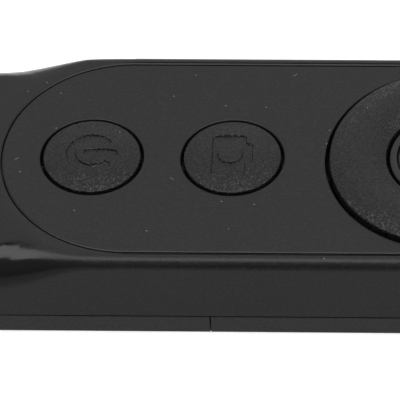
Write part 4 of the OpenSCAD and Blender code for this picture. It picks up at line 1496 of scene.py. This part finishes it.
class REMOTE_OT_stage(bpy.types.Operator):
    """Builds the floor, the light tent, the white backdrop and the camera"""
    bl_idname = "remote.stage"
    bl_label = "Studio"

    def execute(self, context):
        s = context.scene.remote_stage
        self.camera(context, s)
        self.floor(s)
        self.tent()
        self.world(context)
        context.scene.view_settings.view_transform = "Standard"
        return {"FINISHED"}

    def camera(self, context, s):
        turn, ahead = camera_turn(s)
        data = bpy.data.cameras.new("camera")
        data.lens = s.lens
        data.sensor_width = 36
        data.clip_start = 0.05
        data.clip_end = 20
        eye = bpy.data.objects.new("camera", data)
        eye.matrix_world = Matrix.Translation(Vector(s.aim) - ahead * s.distance) @ turn.to_4x4()
        context.scene.collection.objects.link(eye)
        context.scene.camera = eye

    def floor(self, s):
        """A pale floor, white to the camera and in reflections, which keeps the remote's shadow; its glow
        is left out under the remote, a painted shadow there.
        """
        radius, drop, brightness = 2.5, 0.01 * MM, 0.6
        form = Form()
        form.cap([form.loop(circle((0, 0), radius, -drop))], (0, 0, 1))
        n = Nodes("floor")
        diffuse = n.new("BsdfDiffuse")
        diffuse.inputs["Color"].default_value = (*s.floor_colour, 1)
        ray = n.new("LightPath").outputs
        seen = n.math("MAXIMUM", n.math("MAXIMUM", ray["Is Camera Ray"], ray["Is Glossy Ray"]),
                      ray["Is Transmission Ray"])
        # The glow stops under the remote, which paints a shadow there.
        strength = n.math("MULTIPLY", n.math("MULTIPLY", seen, self.glow_outside_painted_shadow(n)), brightness)
        both = n.new("AddShader")
        n.link(diffuse.outputs["BSDF"], both.inputs[0])
        n.link(n.glow(strength), both.inputs[1])
        n.show(both.outputs["Shader"])
        stand("floor", form, n.material)

    def glow_outside_painted_shadow(self, n):
        """One on the open floor, and nothing in a rectangle under the remote, where no light comes: a
        painted shadow on top of the real one.
        """
        parts = n.axes(n.place)
        end_margin, side_margin = 12 * MM, 0.3 * MM
        along = n.math("GREATER_THAN", n.math("ABSOLUTE", parts["X"], 0), LAND_HALF + end_margin)
        across = n.math("GREATER_THAN", n.math("ABSOLUTE", parts["Y"], 0), HALF_W - side_margin)
        return n.math("MAXIMUM", along, across)

    def tent(self):
        """A light tent: a white back, a long softbox overhead and a dark front."""
        radius = 1.0
        box_light, room_light = 2.7, 0.06
        # Turns from the back horizon, in degrees, and places along X, each from one end of a fade
        box_back, box_front, back_top = (89, 91), (125, 122), (78, 76)
        box_left, box_right = (-0.85, -0.65), (0.82, 0.9)
        form = Form()
        bearings = [math.radians(e) for e in range(0, 88, 6)]
        loops = form.sweep([circle((0, 0), radius * math.cos(e), radius * math.sin(e), 48)
                            for e in bearings])
        form.cap([loops[-1]], (0, 0, 1))
        n = Nodes("tent")
        parts = n.axes(n.place)
        turn = n.math("ARCTAN2", parts["Z"], parts["Y"])
        along = parts["X"]
        box = n.math("MULTIPLY", n.soft_step(turn, *box_back), n.soft_step(turn, *box_front))
        box = n.math("MULTIPLY", box, n.math("MULTIPLY", n.span(along, *box_left, 0, 1),
                                             n.span(along, *box_right, 1, 0)))
        back = n.math("MULTIPLY", n.span(n.math("ABSOLUTE", along, 0), 0.12, 0.65, 1, 0.6),
                      n.span(turn, math.radians(4), math.radians(50), 0.42, 0.77))
        back = n.math("MULTIPLY", back, n.soft_step(turn, *back_top))
        n.show(n.glow(n.math("ADD", n.math("MULTIPLY", box, box_light), n.math("ADD", back, room_light))))
        stand("tent", form, n.material).visible_camera = False

    def world(self, context):
        world = bpy.data.worlds.new("backdrop")
        world.use_nodes = True
        background = world.node_tree.nodes["Background"]
        background.inputs["Color"].default_value = (1, 1, 1, 1)
        background.inputs["Strength"].default_value = 1.0
        context.scene.world = world


STEPS = ("upper_shell", "top_panel", "tray", "battery_door", "round_keys", "ring", "middle_key",
         "coin_cell", "rubber_parts", "inner_finishes", "stage")


class REMOTE_PT_panel(bpy.types.Panel):
    """Lists the pieces of the remote"""
    bl_label = "Page turner remote"
    bl_idname = "REMOTE_PT_panel"
    bl_space_type = "VIEW_3D"
    bl_region_type = "UI"
    bl_category = "Remote"

    def draw(self, context):
        for step in STEPS:
            self.layout.operator("remote." + step)


CLASSES = (HousingSettings, KeySettings, RingSettings, StageSettings, REMOTE_OT_upper_shell,
           REMOTE_OT_top_panel, REMOTE_OT_tray, REMOTE_OT_battery_door, REMOTE_OT_round_keys,
           REMOTE_OT_ring, REMOTE_OT_middle_key, REMOTE_OT_coin_cell, REMOTE_OT_rubber_parts,
           REMOTE_OT_inner_finishes, REMOTE_OT_stage, REMOTE_PT_panel)
SETTINGS = {"remote_housing": HousingSettings, "remote_keys": KeySettings,
            "remote_ring": RingSettings, "remote_stage": StageSettings}


def register():
    for cls in CLASSES:
        bpy.utils.register_class(cls)
    for name, group in SETTINGS.items():
        setattr(bpy.types.Scene, name, bpy.props.PointerProperty(type=group))


def unregister():
    for name in SETTINGS:
        delattr(bpy.types.Scene, name)
    for cls in reversed(CLASSES):
        bpy.utils.unregister_class(cls)


def main():
    register()
    for step in STEPS:
        if getattr(bpy.ops.remote, step)() != {"FINISHED"}:
            raise RuntimeError("the step " + step + " did not finish")


if __name__ == "__main__":
    main()
